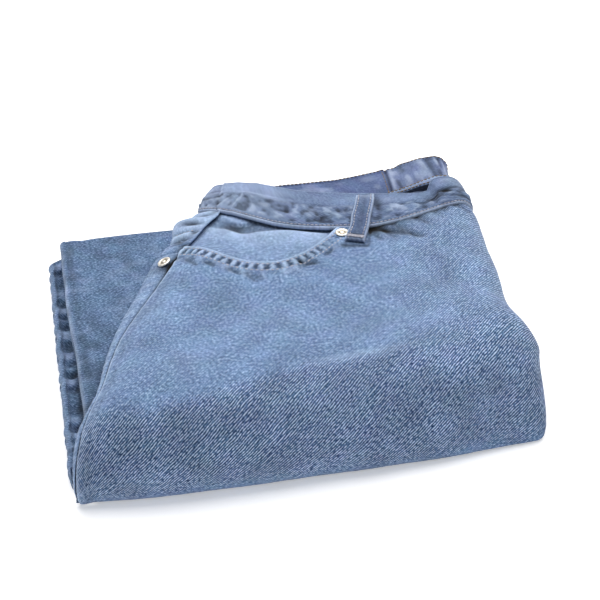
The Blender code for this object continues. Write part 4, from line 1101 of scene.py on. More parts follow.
# %% Waistband, back
BACK_ROWS = np.array([
    # lower edge, then upper edge
    (-43.0, 50.0, 44.0, -37.0, 58.0, 46.0), (-33.0, 46.0, 48.5, -25.0, 57.0, 50.0),
    (-12.0, 36.0, 49.8, -4.7, 57.5, 52.0), (12.0, 26.0, 50.0, 15.0, 57.0, 52.5),
    (33.0, 20.0, 49.8, 34.0, 56.5, 53.0), (50.0, 16.0, 49.5, 52.0, 59.0, 53.2),
    (66.0, 14.0, 48.6, 68.0, 61.6, 53.5), (74.0, 14.0, 48.2, 76.0, 62.6, 54.0),
    (80.0, 15.0, 47.8, 82.5, 66.3, 54.3), (90.0, 18.0, 47.5, 91.5, 67.8, 55.0),
    (98.0, 20.0, 46.0, 100.7, 67.2, 57.2), (103.0, 22.0, 44.0, 107.8, 67.0, 56.6),
    (106.0, 24.0, 41.5, 112.2, 63.0, 54.0), (108.0, 25.0, 39.0, 112.3, 57.5, 49.6),
    (108.5, 26.0, 37.5, 113.2, 52.0, 46.0),
])
BACK_END = len(BACK_ROWS) - 1
BACK_CLOTH = 2.3          # mm
JOINT_ROW = 6.2           # where the lining is joined, in rows of the table


def back_band_surface(s, t):
    """Inner face of the back waistband; s from left to right, t towards its edge."""
    s, t = floats(s, t)
    row = s * BACK_END
    rows, ahead, behind = (follow(BACK_ROWS, row + step) for step in (0.0, 0.1, -0.1))
    low, high = rows[..., :3], rows[..., 3:]
    up = unit(np.cross((ahead - behind)[..., 3:], high - low))
    run, rise = row * 11.5, t * 42.0      # mm
    joint = (row - JOINT_ROW) * 8.5
    loose = soft_step(0.5, 3.0, joint)
    fold = patchy(run + 0.4 * rise, 0.5 * rise, 4.6, 61)
    lift = 0.8 * np.sin(np.pi * t) + 0.3 * patchy(run, rise, 8.0, 62)
    lift = lift - 1.0 * bell(joint, 0, 0.9) + 0.5 * bell(joint, -2.0, 1.4)
    lift += 0.5 * bell(t, 0.975, 0.03) - 0.4 * bell(t, 0.93, 0.02) + 0.7 * loose * fold * bell(t, 0.82, 0.2)
    lift -= 0.8 * soft_step(0.985, 1.0, t)
    rubbed = soft_step(0.1, 0.9, patchy(run, rise, 6.0, 63))
    wear = 0.25 * bell(t, 1.0, 0.03) + 0.4 * rubbed * bell(t, 0.75, 0.2)
    wear += 0.65 * loose * soft_step(0.1, 0.8, fold) + 0.20 * loose + 0.55 * bell(joint, 3.0, 1.8)
    wear += 0.40 * soft_step(0.3, 0.9, patchy(run, 0.6 * rise, 4.0, 65)) * bell(t, 0.62, 0.14) * (1 - loose)
    # The lining's joint is a dark line. Painted shade covers the lower part of the inner face, the groove
    # near its edge and the dips of the loose folds.
    shade = 0.6 * bell(joint, 0.3, 1.0) + 0.35 * (1 - soft_step(0.3, 0.75, t)) + 0.14 * bell(t, 0.93, 0.02)
    shade = shade + 0.44 * loose * soft_step(0.0, 0.8, -fold) + 0.10 * patchy(run, rise, 9.0, 64)
    return low + (high - low) * t[..., None] + up * lift[..., None], up, wear, shade


outer, up, wear, shade = back_band_surface(*grid_of(np.linspace(0, 1, 240), np.linspace(0, 1, 60)))
back_band = cloth_shell("waistband_back_cloth", outer, outer - up * BACK_CLOTH, cloth_uv(outer),
                        wear, shade, shaded_wrong_side, 0.35)

# %% [markdown]
# The belt loop is a folded strip with a row of stitches near each side. It bridges the waistband
# and is tacked to the hip below the seam.

# %% Belt loop
LOOP_WIDTH, LOOP_LENGTH, LOOP_CLOTH = 11.8, 55.0, 1.6     # mm
ROW_PLACE = 0.66          # of the half width, where its rows of stitches run
LOOP_PATH = np.array([(48.2, 26.6, 57.4), (47.3, 23.2, 58.9), (45.7, 17.6, 59.9), (42.2, 7.6, 60.4),
                      (39.1, -0.1, 60.2), (36.1, -9.3, 59.4), (32.7, -16.5, 58.9), (29.4, -24.2, 58.5)])
LOOP_UPS = np.array([(0.0, 0.45, 0.9), (0.0, 0.3, 0.95), (0.0, 0.12, 1.0), (0.0, 0.0, 1.0), (0.0, -0.06, 1.0),
                     (0.0, -0.04, 1.0), (0.0, 0.0, 1.0), (0.0, 0.0, 1.0)])


def loop_surface(t, across):
    """Face of the belt loop; t from its top down, across from -1 to 1."""
    t, across = floats(t, across)
    p, n = smooth_line(LOOP_PATH, t), unit(smooth_line(LOOP_UPS, t))
    ahead = smooth_line(LOOP_PATH, np.minimum(t + 0.03, 1)) - smooth_line(LOOP_PATH, np.maximum(t - 0.03, 0))
    side = unit(np.cross(ahead, n))
    run, off = t * LOOP_LENGTH, np.abs(across)
    foot = bell(t, 0.955, 0.035)
    high = 1.2 - 0.25 * bell(off, ROW_PLACE, 0.12) - 0.3 * bell(across, 0, 0.4)
    high = high - 0.8 * soft_step(0.9, 1.0, off)
    high = high + 0.12 * wobble(run, 5.0, 0.8) * bell(off, 0.8, 0.3) + 1.3 * foot
    width = LOOP_WIDTH / 2 * (1 + 0.02 * wobble(run, 14, 0.2) + 0.05 * foot)
    wear = 0.95 * bell(off, 0.97, 0.13) + 0.12 * patchy(run, across * 6, 3.0, 71) + 0.9 * foot
    wear = wear + 0.45 * bell(t, 0.16, 0.12)
    # Painted shade in the grooves of the stitch rows and in the folds at the top and at the foot; the loop is
    # also darker down its middle and towards its foot.
    shade = 0.28 * bell(off, ROW_PLACE, 0.1) + 0.34 * bell(across, 0.0, 0.5) * (1 - foot)
    shade = shade + 0.5 * bell(t, 0.905, 0.02) * (off < 0.9)
    shade = shade + 0.35 * bell(t, 0.065, 0.02) + 0.10 * soft_step(0.35, 0.7, t)
    return p + side * (across * width)[..., None] + n * high[..., None], n, wear, shade


outer, n, wear, shade = loop_surface(*grid_of(np.linspace(0, 1, 90), np.linspace(-1, 1, 26)))
belt_loop = cloth_shell("belt_loop", outer, outer - n * LOOP_CLOTH, cloth_uv(outer), wear, shade,
                        denim_band, 0.5)

# %% [markdown]
# Under the top layer lie the folded legs. Each is a flat tube, so its side shows two rolled folds
# with a groove between. The lower one lies on the table and shows its puckered side seam as a
# strip at the left; the upper one shows its plain face beside the hip.

# %% Folded legs
FOLD_REACH = 3.4          # mm from the edge of a leg to its flat face
LEG_FOLD = np.array([
    # place inwards from the edge in mm, and height as a share of the leg's
    (FOLD_REACH, 1.0), (2.3, 0.99), (1.3, 0.955), (0.55, 0.9), (0.1, 0.82), (0.0, 0.74), (0.3, 0.66),
    (1.1, 0.595), (2.2, 0.555), (2.4, 0.52), (1.3, 0.475), (0.4, 0.42), (0.05, 0.34), (0.0, 0.25),
    (0.4, 0.15), (1.2, 0.065), (2.3, 0.01), (FOLD_REACH, 0.0),
])


def leg_rings(ys, left, right, low, high, top_relief):
    """Rings of a folded leg in planes of constant y."""
    ys, left, right, low, h = (a[:, None] for a in (ys, left, right, low, high - low))
    k = np.minimum(1.0, (right - left) / 9)      # a narrow leg has smaller folds
    inwards, height = LEG_FOLD.T
    rim_left = np.stack([left + inwards * k, low + height * h], axis=-1)
    rim_right = np.stack([right - inwards[::-1] * k, low + height[::-1] * h], axis=-1)
    a, b = left + FOLD_REACH * k, right - FOLD_REACH * k
    f = np.linspace(0, 1, 16)[1:-1]
    under = np.stack([a + (b - a) * f, low + 0 * f], axis=-1)
    f = (1 - np.linspace(0, 1, 92)[1:-1]) ** 1.5      # closer together at the left, where it shows
    x = a + (b - a) * f
    over = np.stack([x, high[:, None] + top_relief(x, ys + 0 * f)], axis=-1)
    ring = np.concatenate([rim_left, under, rim_right, over], axis=1)
    return np.stack([ring[..., 0], ys + 0 * ring[..., 0], ring[..., 1]], axis=-1)


def tucked(ys, first, last, reach):
    """0 at the two ends of a leg, rising round to 1 within a reach; also the distance from them."""
    close = np.minimum(np.abs(ys - first), np.abs(ys - last))
    return np.sqrt(np.clip(1 - (1 - np.clip(close / reach, 0, 1)) ** 2, 0, 1)), close


ROLLED_END = np.array([
    # height left, push outwards, length of cloth used so far, darkening: painted shade in the groove of the
    # rolled end
    (0.95, 0.3, 0.6, 0.0), (0.84, 0.8, 1.6, 0.0), (0.68, 1.0, 2.9, 0.0), (0.48, 0.9, 4.4, 0.05),
    (0.28, 0.4, 5.9, 0.2), (0.14, -0.6, 7.2, 0.4), (0.06, -2.0, 8.6, 0.5),
])


def rolled_end(rings, ys, wear, shade):
    """Close the far end of a leg with two rolls and a groove, like its long sides."""
    last = rings[-1]
    middle = (last[:, 2].max() + last[:, 2].min()) / 2
    for height, push, used, dark in ROLLED_END:
        ring = last + np.array([0.0, push, 0.0])
        ring[:, 2] = middle + (last[:, 2] - middle) * height
        rings = np.concatenate([rings, ring[None]])
        ys = np.append(ys, last[:, 1].max() + used)
        wear = np.concatenate([wear, 0.5 * wear[-1:]])
        shade = np.concatenate([shade, shade[-1:] + dark])
    return rings, ys, wear, shade


# %% [markdown]
# The upper leg shows its plain face at the left, beside the hip, with a pale fold along its edge.
# Darker patches break up the flat face. Painted shade fills the groove between its rolled folds and lies just
# inside its edge fold, and the top layer's shadow is painted where it lies beside it.

# %% Upper leg
# The upper leg, below the hip half.
ys = np.concatenate([[-128.6, -128.3, -127.6, -126.5], np.linspace(-125, 48, 120),
                     [49.4, 50.4, 51.2, 51.8, 52.0]])
f = (ys + 128.6) / 177.2
tuck, close = tucked(ys, -128.7, 52.1, 3.2)
at_front = 1 - soft_step(-90.0, -10.0, ys)
left = -149.4 + 0.4 * f + 0.35 * wobble(ys, 37, 0.4) + 0.9 * (1 - tuck) + 2.6 * at_front
right = 109.0 - 2 * f - 2.5 * (1 - tuck)
low, high = 16.9 + 3.0 * (1 - tuck), 32.3 - 3.2 * (1 - tuck) + 0.15 * wobble(ys, 60, 1.0)


def upper_relief(x, y):
    """Slow waves and a soft edge crease on the face of the upper leg."""
    return 0.30 * np.sin(x * 0.06 + y * 0.03) - 0.35 + 0.5 * bell(x, -140.5, 3.5) - 0.4 * bell(x, -134.0, 4.0)


rings = leg_rings(ys, left, right, low, high, upper_relief)
x, y, z = np.moveaxis(rings, -1, 0)
edge = x - left[:, None]
lump = patchy(x, y, 5.5, 81)
wear = 0.55 * bell(edge, 0.8, 1.1) * (z > 27) * (0.7 + 0.3 * lump) + 0.20 * soft_step(0.0, 0.9, lump)
wear = np.maximum(wear, 0.3 * (close < 1.6)[:, None] * (z > 24))
# Darker patches, and painted shade in the groove between the rolled folds and just inside the edge fold.
shade = 0.26 * soft_step(0.0, 0.9, -patchy(x, y, 9.0, 82)) + 0.3 * ((z < 26) & (z > 23))
shade = shade + 0.20 * bell(edge, 5.5, 2.0) * (z > 30)
# The top layer shades the leg beside the side seam.
beside, _ = line_distance(rings * LEVEL, side_line * LEVEL)
shade = shade + 0.30 * bell(beside, 0.0, 15.0)
upper_leg = cloth_loft("upper_leg", *rolled_end(rings, ys, wear, shade), shaded_denim_layers)

# %% [markdown]
# The lower leg shows only a strip: its side seam, pulled into pale bars and dark hollows about 15 mm apart,
# the hollows darkened with painted shade. They are made in the mesh, because they also notch the outline.

# %% Lower leg
# The lower leg, on the table. In front of NARROW only a strip of it runs on, beside the front fold.
NARROW, SEAM_STEP = -131.0, 15.0
ys = np.concatenate([[-156.0, -155.6, -154.5], np.linspace(-153.6, -149.0, 5),
                     np.linspace(-147.6, -131.2, 16), [-130.62, -130.3], np.linspace(-129.6, 52.0, 194),
                     [53.2, 54.2, 54.9, 55.3, 55.5]])
ys = np.where(ys < NARROW, NARROW + 0.66 * (ys - NARROW), ys)
tuck, _ = tucked(ys, ys[0] - 0.1, 55.6, 3.0)
f = (ys + 156.0) / 207.4
pucker = wobble(ys, SEAM_STEP, 0.9)
left = -158.4 + 0.6 * f + 0.75 * pucker + 0.8 * (1 - tuck)
right = np.where(ys > -130.5, 110.0, np.where(ys > -142.2, -150.4, -157.0)) - 2.5 * (1 - tuck) * (ys > 0)
high = np.where(ys < -130.5, 12.5, 15.0) + 0.7 * pucker - 4.0 * (1 - tuck)


def lower_relief(x, y):
    """Puckered side seam: bars and hollows along the strip that shows at the left."""
    strip = bell(x, -151.0, 3.6) * (y > NARROW) * (1 - soft_step(46.0, 53.0, y))
    return strip * (-1.4 - 2.2 * soft_step(-0.3, 0.8, -wobble(y, SEAM_STEP, 0.9)) + 0.4 * wobble(y, 4.4, 2.0))


rings = leg_rings(ys, left, right, 0 * ys, high, lower_relief)
# Its far left corner is drawn in, so that it does not stand out square.
edge = rings[..., 0] - left[:, None]
rings[..., 1] += soft_step(15, 55, rings[..., 1]) * (0.62 * np.minimum(edge, 14.0) - 3.0)
z = rings[..., 2]
on_top = z > 9
along = pucker[:, None]
wear = 0.22 * bell(edge, 1.0, 1.8) * on_top
wear = wear + 0.70 * bell(edge, 6.0, 3.2) * on_top * soft_step(0.1, 0.8, along)
wear = wear + 0.35 * ((ys > 53.5)[:, None] & on_top)
# Painted shade in the hollows between the bars, along a line near the edge, in the groove between the rolls,
# and in the gap under the upper leg's edge towards the front.
shade = 0.55 * bell(edge, 8.2, 3.4) * on_top * soft_step(-0.2, 0.7, -along)
shade = shade + 0.3 * bell(edge, 3.9, 0.9) * on_top + 0.25 * ((z < 9) & (z > 6.2))
shade = shade + 0.65 * bell(edge, 11.0, 2.2) * on_top * (1 - soft_step(-90.0, -10.0, ys))[:, None]
lower_leg = cloth_loft("lower_leg", *rolled_end(rings, ys, wear, shade), shaded_denim_layers)

# %% [markdown]
# The other half of the hips and the cloth inside the front fold hardly show. Each is one rounded body under
# the top layer, with a groove between its layers where its edge comes into view. Both are darkened with
# painted shade, the grooves more.

# %% Hidden layers
CORE_DEPTH, CORE_DEPTH_AT_FACING, CORE_BASE = 2.9, 5.3, 33.1    # mm below the top layer; height
GROOVES = (40.3, 35.6)    # heights of the grooves between the hip's layers
us = np.concatenate([[0.012, 0.014, 0.02, 0.03], np.linspace(0.045, 0.86, 60), [0.875, 0.888, 0.896, 0.9]])
rings = []
for k, u in enumerate(us):
    v = np.linspace(8.5, 0.2, 40)
    sunk = np.where((v < 4.2) & (u < 0.56), CORE_DEPTH_AT_FACING, CORE_DEPTH) + (1.2 if u > 0.78 else 0.0)
    upper, _ = lifted(top_point, np.full_like(v, u), v, -sunk)
    seam = band_base(np.array([u]))[0]
    dx, dy = (np.interp(u, BAND_ROWS[:, 0], BAND_ROWS[:, c]) for c in (1, 2))
    far_y = 57.5 - 6 * (abs(u - 0.5) * 2) ** 3
    far_x = seam[0] + dx * (far_y - seam[1]) / max(dy, 15.0)
    top_z = 45.5 - 14 * max(u - 0.7, 0.0)
    shelf = [(seam[0] + (far_x - seam[0]) * f, seam[1] + (far_y - seam[1]) * f, top_z + dz)
             for f, dz in ((0.12, 0.5), (0.3, 0.1), (0.5, 0), (0.7, 0), (0.85, -0.1), (0.95, -0.3))]
    end = [(far_x, far_y + back, min(z, top_z - 0.4 + 0.1 * back)) for back, z in (
        (0.0, 44.2), (0.2, 43.0), (-0.2, 41.8), (-1.6, 40.8), (-3.4, GROOVES[0]), (-1.6, 39.8),
        (-0.2, 39.0), (0.3, 37.9), (-0.2, 36.9), (-1.6, 36.0), (-3.4, GROOVES[1]), (-1.6, 35.1),
        (-0.8, 34.3), (-3.0, CORE_BASE))]
    under = [(upper[0, 0] + (far_x - upper[0, 0]) * f, -127.5 + (far_y + 124.5) * f, CORE_BASE)
             for f in (0.85, 0.7, 0.55, 0.4, 0.25, 0.1, 0.0)]
    front = [(upper[0, 0], -129.6, CORE_BASE + 2.0), (upper[0, 0], -129.8, 40.0),
             (upper[0, 0], -129.8, upper[0, 2] - 3.0)]
    ring = np.concatenate([upper, shelf, end, under, front])
    ring[:, 1] = np.maximum(ring[:, 1], -129.9)
    near_end = min(k, len(us) - 1 - k)
    if near_end < 3:
        shrink = (0.62, 0.86, 0.96)[near_end]
        middle = ring.mean(axis=0)
        ring[:, 2] = 38.5 + (ring[:, 2] - 38.5) * shrink
        ring[:, 1] = middle[1] + (ring[:, 1] - middle[1]) * (1 - 0.02 * (1 - shrink))
    rings.append(ring)
rings = np.array(rings)
shade = 0.35 + 0.25 * sum(np.abs(rings[..., 2] - height) < 0.4 for height in GROOVES)
hips = cloth_loft("hip_layers", rings, us * 150, 0 * shade, shade, shaded_denim_layers)

# %% Cloth inside the front fold
us = np.concatenate([[0.028, 0.03, 0.036, 0.045], np.linspace(0.06, 0.9, 70), [0.92, 0.935, 0.945, 0.95]])
rings = []
for k, u in enumerate(us):
    v = np.linspace(9.05, 14.25, 44)
    face, _ = lifted(top_point, np.full_like(v, u), v, np.full_like(v, -(4.8 if u > 0.82 else 3.1)))
    tail = face[-1]
    rest = [(face[0, 0] if z > 20 else tail[0], y, z) for y, z in (
        (tail[1] + 3.5, 1.2), (tail[1] + 6.5, 0.0), (-148.0, 0.0), (-140.0, 0.0), (-135.0, 0.0),
        (-132.0, 0.6), (-131.4, 1.8), *((NARROW, height) for height in (9.0, 16.0, 24.0, 32.0, 40.0)),
        (NARROW, face[0, 2] - 5.0), (-131.6, face[0, 2] - 2.0))]
    ring = np.concatenate([face, rest])
    ring[:, 1] = np.minimum(ring[:, 1], NARROW)
    ring[:, 2] = np.maximum(ring[:, 2], 0.0)
    near_end = min(k, len(us) - 1 - k)
    if near_end < 4:
        shrink = (0.80, 0.90, 0.96, 0.99)[near_end]
        ring[:, 1] = -146 + (ring[:, 1] + 146) * shrink
        ring[:, 2] = 25 + (ring[:, 2] - 25) * shrink
    rings.append(ring)
rings = np.array(rings)
plain = np.zeros(rings.shape[:2])
fold_layers = cloth_loft("fold_layers", rings, us * 260, plain, plain + 0.3, shaded_denim_layers)

# %% [markdown]
# Stitches repeat along every seam, so Geometry Nodes place them. The script gives a cloud of
# points, each with the direction of the thread and of the cloth; the tree sets a small rounded
# stitch on each, varies its size with a fixed seed, makes it real and gives it the thread.

# %% Stitch tree
def stitch_tree():
    tree = bpy.data.node_groups.new("stitch_row", "GeometryNodeTree")
    face = tree.interface
    face.new_socket("Points", in_out="INPUT", socket_type="NodeSocketGeometry")
    for title, value in (("Stitch Length", 0.0026), ("Thread Width", 0.0008), ("Thread Height", 0.0006)):
        face.new_socket(title, in_out="INPUT", socket_type="NodeSocketFloat").default_value = value
    face.new_socket("Seed", in_out="INPUT", socket_type="NodeSocketInt").default_value = 3
    face.new_socket("Thread", in_out="INPUT", socket_type="NodeSocketMaterial")
    face.new_socket("Stitches", in_out="OUTPUT", socket_type="NodeSocketGeometry")
    given = add_node(tree, "NodeGroupInput").outputs
    # A stitch is one unit long and wide here; its real size comes from the three inputs.
    ball = add_node(tree, "GeometryNodeMeshUVSphere", {"Segments": 8, "Rings": 5, "Radius": 0.5})
    size = add_node(tree, "ShaderNodeCombineXYZ", None,
                    {"X": given["Stitch Length"], "Y": given["Thread Width"], "Z": given["Thread Height"]})
    shape = add_node(tree, "GeometryNodeTransform", None, {"Geometry": ball.outputs["Mesh"],
                     "Scale": size.outputs[0]})
    along, up = (add_node(tree, "GeometryNodeInputNamedAttribute", {"data_type": "FLOAT_VECTOR", "Name": key})
                 for key in ("along", "up"))
    turn = add_node(tree, "FunctionNodeAxesToRotation", {"primary_axis": "X", "secondary_axis": "Z"},
                    {"Primary Axis": along.outputs[0], "Secondary Axis": up.outputs[0]})
    vary = add_node(tree, "FunctionNodeRandomValue", {"data_type": "FLOAT", 2: 0.86, 3: 1.12},
                    {"Seed": given["Seed"]})
    rows = add_node(tree, "GeometryNodeInstanceOnPoints", None, {"Points": given["Points"],
                    "Instance": shape.outputs[0], "Rotation": turn.outputs[0], "Scale": vary.outputs[1]})
    real = add_node(tree, "GeometryNodeRealizeInstances", None, {"Geometry": rows.outputs[0]})
    thread = add_node(tree, "GeometryNodeSetMaterial", None,
                      {"Geometry": real.outputs[0], "Material": given["Thread"]})
    smooth = add_node(tree, "GeometryNodeSetShadeSmooth", None, {"Geometry": thread.outputs[0]})
    add_node(tree, "NodeGroupOutput", None, {0: smooth.outputs[0]})
    return tree


STITCH_TREE = stitch_tree()


# %% [markdown]
# A row of stitches starts as loose points with two directions each. The tree above turns them into
# a mesh, which is kept as plain geometry, because instances are dropped when the model is exported.

# %% Sewing rows
def sew(name, rows, material, length=2.4, width=0.75, height=0.65, seed=3):
    """One mesh of stitches from rows of (points, directions, outward directions) in mm."""
    points = np.concatenate([r[0] for r in rows])
    mesh = bpy.data.meshes.new(name)
    mesh.from_pydata(to_frame(points).tolist(), [], [])
    for key, k in (("along", 1), ("up", 2)):
        values = np.concatenate([r[k] for r in rows]).astype(np.float32)
        mesh.attributes.new(key, "FLOAT_VECTOR", "POINT").data.foreach_set("vector", values.ravel())
    obj = add_object(name, mesh)
    mod = obj.modifiers.new("stitches", "NODES")
    mod.node_group = STITCH_TREE
    sockets = STITCH_TREE.interface.items_tree
    inputs = {item.name: item.identifier for item in sockets if item.in_out == "INPUT"}
    for title, value in (("Stitch Length", length * MM), ("Thread Width", width * MM),
                         ("Thread Height", height * MM), ("Seed", seed), ("Thread", material)):
        mod[inputs[title]] = value
    bpy.context.view_layer.update()
    done = bpy.data.meshes.new_from_object(obj.evaluated_get(bpy.context.evaluated_depsgraph_get()))
    obj.modifiers.remove(mod)
    obj.data = done
    done.name = name
    print(name, len(points), "stitches", len(done.polygons), "faces")
    return obj


def row_along(points, ups, pitch=3.1):
    """Even stitches along a line of points: places, directions and outward directions."""
    step = np.linalg.norm(np.diff(points, axis=0), axis=1)
    run = np.concatenate([[0], np.cumsum(step)])
    places = np.arange(pitch / 2, run[-1], pitch)

    def pick(values, at):
        return np.stack([np.interp(at, run, column) for column in values.T], axis=-1)

    ahead = pick(points, places + 0.6) - pick(points, places - 0.6)
    return pick(points, places), unit(ahead), unit(pick(ups, places))


# %% [markdown]
# Two threads are used: pale sand outside, faded by washing, and brown inside the waistband.

# %% Threads
def thread(name, colour, dark):
    """Spun polyester thread: a soft shine along its twist."""
    mat, tree, shader = new_material(name)
    place = add_node(tree, "ShaderNodeTexCoord").outputs["Object"]
    grain = add_node(tree, "ShaderNodeTexNoise", {"Scale": 900.0, "Detail": 1.0}, {"Vector": place})
    ramp = add_node(tree, "ShaderNodeValToRGB", None, {"Fac": grain.outputs["Fac"]})
    ramp.color_ramp.elements[0].position, ramp.color_ramp.elements[0].color = 0.35, tone(dark)
    ramp.color_ramp.elements[1].position, ramp.color_ramp.elements[1].color = 0.65, tone(colour)
    tree.links.new(ramp.outputs["Color"], shader.inputs["Base Color"])
    shader.inputs["Roughness"].default_value = 0.6
    return mat


pale_thread = thread("pale_sand_thread", "#c3c3cd", "#9494a2")
brown_thread = thread("brown_thread", "#94806a", "#6c5c4f")

# %% [markdown]
# The rows: two along the pocket opening, one along the waistband seam, two down the belt loop with a bar tack
# at its foot, one across the yoke and brown ones inside the waistband.

# %% Rows of stitches
def panel_row(line, inset, count=200):
    """Row on the front panel at a distance inside a line given in u and v."""
    uv = smooth_line(line, np.linspace(0, 1, count))
    p, n = lifted(top_point, uv[:, 0], uv[:, 1], np.zeros(count))
    inward = unit(np.cross(np.gradient(p, axis=0), n))
    if inward[count // 2, 1] > 0:
        inward = -inward
    p = p + inward * inset
    u, v = find_uv(p[:, 0], p[:, 1])
    keep = (u > 0.004) & (v > 0.1)
    u, v = u[keep], v[keep]
    relief = panel_relief(top_point(u, v), u, v)[0]
    p, n = lifted(top_point, u, v, relief + 0.12)
    return row_along(p, n)


# Two rows along the pocket opening.
rows = [panel_row(opening_uv, 1.9), panel_row(opening_uv, 8.2)]
# One along the waistband seam.
s = np.concatenate([np.linspace(-0.6, 0, 40)[:-1], np.linspace(0, 0.99, 300)])
p, up, _, _ = band_surface(s, 0.055)
rows.append(row_along(p + up * 0.05, up, 2.6))
# A short one across the yoke.
w, v = floats(np.linspace(0.20, 0.60, 40), 0.90)
base, relief, _, _ = edge_surface(w, v)
n = middle_normal(v)
rows.append(row_along(base + n * (relief + 0.35)[:, None], n, 2.8))
# Two down the belt loop.
for across in (-ROW_PLACE, ROW_PLACE):
    p, n, _, _ = loop_surface(np.linspace(0.02, 0.98, 80), across)
    rows.append(row_along(p + n * 0.1, n, 2.9))
stitches_pale = sew("stitches_pale", rows, pale_thread)

# %% Brown rows
# Brown thread: along the edge of the back band, across it, and two rows on the inner strip.
rows, pitch = [], 2.7
for s, t in ((np.linspace(0.05, 0.99, 300), 0.972),
             ((JOINT_ROW - 0.22) / BACK_END, np.linspace(0.45, 0.97, 60))):
    p, up, _, _ = back_band_surface(s, t)
    rows.append(row_along(p + up * 0.15, up, pitch))
for t in (0.12, 0.42):
    p = strip_surface(np.linspace(0.08, 0.98, 120), np.full(120, t))
    rows.append(row_along(p + np.array([0.0, -0.1, 0.25]), np.tile((0.0, -0.5, 0.86), (len(p), 1)), pitch))
stitches_brown = sew("stitches_brown", rows, brown_thread, seed=5)

# %% Bar tack
# The bar tack: stitches along the loop, side by side across its foot.
rows = []
for t in (0.945, 0.962):
    p, n, _, _ = loop_surface(t, np.linspace(-0.86, 0.86, 24))
    rows.append((p + n * 0.25, unit(np.cross(n, p[-1] - p[0])), n))
bar_tack = sew("bar_tack", rows, pale_thread, length=2.0, width=0.5, height=0.55, seed=7)

# %% [markdown]
# A rivet is pressed brass: a broad rim, a dish and a small nub. Its profile is spun round in 48
# steps. Years of washing leave the brass pale, with dark grime in the dish.

# %% Rivets
def pressed_brass():
    mat, tree, shader = new_material("pressed_brass")
    place = add_node(tree, "ShaderNodeTexCoord").outputs["Object"]
    noise = add_node(tree, "ShaderNodeTexNoise", {"Scale": 700.0, "Detail": 3.0}, {"Vector": place})
    shade = add_node(tree, "ShaderNodeAttribute", {"attribute_name": "shade"}).outputs["Fac"]
    dirt = add_node(tree, "ShaderNodeMath", {"operation": "MULTIPLY_ADD", 1: 0.6, "use_clamp": True},
                    {0: noise.outputs["Fac"], 2: shade})
    ramp = add_node(tree, "ShaderNodeValToRGB", None, {"Fac": dirt.outputs[0]})
    ramp.color_ramp.elements[0].position, ramp.color_ramp.elements[0].color = 0.30, tone("#fffaf0")
    ramp.color_ramp.elements[1].position, ramp.color_ramp.elements[1].color = 1.0, tone("#8a7a60")
    tree.links.new(ramp.outputs["Color"], shader.inputs["Base Color"])
    shader.inputs["Metallic"].default_value = 1.0
    shader.inputs["Roughness"].default_value = 0.5
    bump = add_node(tree, "ShaderNodeBump", {"Strength": 0.25, "Distance": 0.0002},
                    {"Height": noise.outputs["Fac"]})
    tree.links.new(bump.outputs[0], shader.inputs["Normal"])
    return mat


# %% Build the rivets
brass = pressed_brass()
# Profile of a rivet from its nub outwards and back underneath: share of the radius, height in mm.
RIVET = [(0.0, 1.25), (0.10, 1.22), (0.20, 1.12), (0.27, 0.92), (0.34, 0.72), (0.44, 0.66), (0.54, 0.72),
         (0.64, 0.95), (0.73, 1.08), (0.82, 1.08), (0.91, 0.97), (0.97, 0.74), (1.0, 0.45), (0.99, 0.15),
         (0.94, 0.0), (0.6, 0.0), (0.3, 0.0), (0.0, 0.0)]


def rivet(name, base, n, radius=4.4, steps=48):
    """Rivet on a base point, with its axis along n."""
    side = unit(np.cross(n, (0.0, 1.0, 0.0)))
    turn = np.linspace(0, 2 * np.pi, steps + 1)[:-1, None]
    ring = side * np.cos(turn) + np.cross(n, side) * np.sin(turn)
    out, up = (column[:, None, None] for column in np.array(RIVET[1:-1]).T)
    verts = (base + ring[None] * (out * radius) + n * up).reshape(-1, 3)
    index = np.arange(len(verts)).reshape(-1, steps)
    nub, foot = len(verts), len(verts) + 1
    verts = np.vstack([verts, base + n * RIVET[0][1], base])
    pairs = list(zip(range(steps), np.roll(range(steps), -1)))
    caps = [(index[0, i], index[0, j], nub) for i, j in pairs]
    caps += [(index[-1, j], index[-1, i], foot) for i, j in pairs]
    mesh = bpy.data.meshes.new(name)
    mesh.from_pydata(to_frame(verts).tolist(), [], ring_quads(index).tolist() + caps)
    dish = np.append(np.repeat(bell(out.ravel(), 0.42, 0.16) * 0.6, steps), [0, 0])
    mesh.attributes.new("shade", "FLOAT", "POINT").data.foreach_set("value", dish.astype(np.float32))
    mesh.shade_smooth()
    mesh.materials.append(brass)
    return add_object(name, mesh)


u, v = find_uv(24.2, -12.6)
point, n = lifted(top_point, u, v, np.array([0.9]))
rivet_a = rivet("rivet_at_opening", point[0], n[0])
# The lower one sits on the turn of the side seam, so it leans out to the left.
point = edge_point(0.20, 2.62)
n = unit(middle_normal(2.74) * 0.9 + np.array([-0.42, 0.1, 0.0]))
rivet_b = rivet("rivet_at_side", point + n, n)
print("two rivets,", len(rivet_a.data.polygons), "faces each")

# %% [markdown]
# Last, each piece is hung under one root, and the solid it stands for is hidden. The table also names the
# finish each takes, and for cloth the size it was cut to before it was folded is printed below.

# %% Pieces to frame
def surface_area(obj):
    """Half of a closed shell's surface, in square metres."""
    return sum(p.area for p in obj.data.polygons) / 2


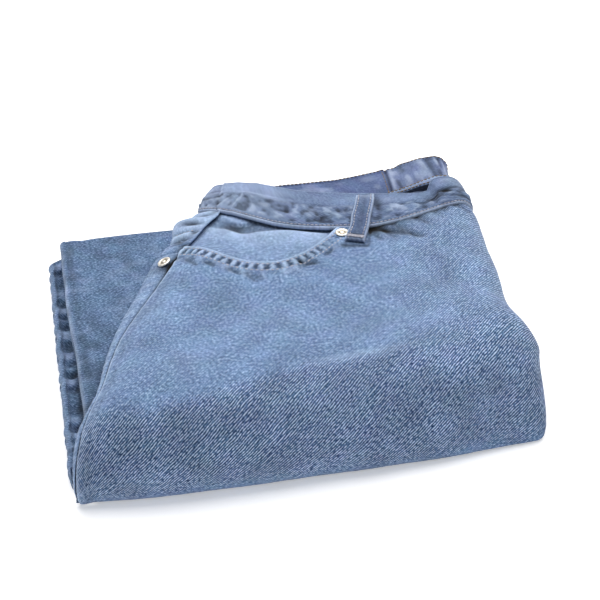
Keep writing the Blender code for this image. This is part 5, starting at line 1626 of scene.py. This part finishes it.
pieces = {
    "front_panel": (front_panel, ["front_panel_right"], "denim_panel"),
    "yoke": (yoke, ["back_yoke_right"], "denim_panel"),
    "side_strip": (side_strip, ["back_panel_right"], "denim_panel"),
    "facing": (facing, ["pocket_facing_right"], "denim_panel"),
    "front_band": (front_band, ["waistband_front"], "denim_band"),
    "back_band": (back_band, ["waistband_back"], "denim_band"),
    "band_strip": (strip, [], "denim_band"),
    "belt_loop": (belt_loop, ["belt_loop_front"], "denim_band"),
    "hips": (hips, ["hidden_hip_layers"], "denim_layers"),
    "fold": (fold_layers, ["hidden_fold_layers"], "denim_layers"),
    "upper_leg": (upper_leg, ["upper_leg_layers"], "denim_layers"),
    "lower_leg": (lower_leg, ["lower_leg_layers"], "denim_layers"),
    "rivet_a": (rivet_a, ["rivet_upper"], "rivet_metal"),
    "rivet_b": (rivet_b, ["rivet_lower"], "rivet_metal"),
    "stitches_pale": (stitches_pale, [], "denim_band"),
    "stitches_brown": (stitches_brown, [], "denim_band"),
    "bar_tack": (bar_tack, [], "denim_band"),
}
for obj, nodes, slot in pieces.values():
    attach(obj, "root")
    if nodes:
        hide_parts(*nodes)

# %% [markdown]
# Cloth has a true size: the one it was cut to. The table gives it for what shows of each piece, and
# the print sets it beside the cloth that was made, so the two can be compared.

# %% Sizes of the cut cloth
CUTS = {
    # width and length of what shows in m, flat area in m2, how held, what it lies on, what is sewn on
    "front_panel": (0.245, 0.235, 0.0515, "folded", [hips, fold_layers], [stitches_pale, rivet_a, rivet_b]),
    "yoke": (0.046, 0.042, 0.00165, "folded", [hips], []),
    "side_strip": (0.250, 0.012, None, "folded", [upper_leg], []),
    "facing": (0.128, 0.062, 0.0062, "laid", [hips], []),
    "front_band": (0.212, 0.038, None, "folded", [hips], []),
    "back_band": (0.172, 0.040, None, "folded", [hips], [stitches_brown]),
    "band_strip": (0.045, 0.011, None, "folded", [back_band], []),
    "belt_loop": (0.013, 0.058, None, "folded", [front_band], [bar_tack]),
    "hips": (0.225, 0.180, None, "folded", [upper_leg], []),
    "fold": (0.230, 0.088, None, "folded", [lower_leg], []),
    "upper_leg": (0.272, 0.193, None, "folded", [lower_leg], []),
    "lower_leg": (0.278, 0.212, None, "folded", [], []),
}
for title, (width, length, area, held, below, sewn_on) in CUTS.items():
    obj = pieces[title][0]
    cut, cloth = (area or width * length) * 1e4, surface_area(obj) * 1e4
    print(f"{title}: cut {width / MM:.0f} x {length / MM:.0f} mm, {cut:.0f} cm2, cloth {cloth:.0f} cm2")
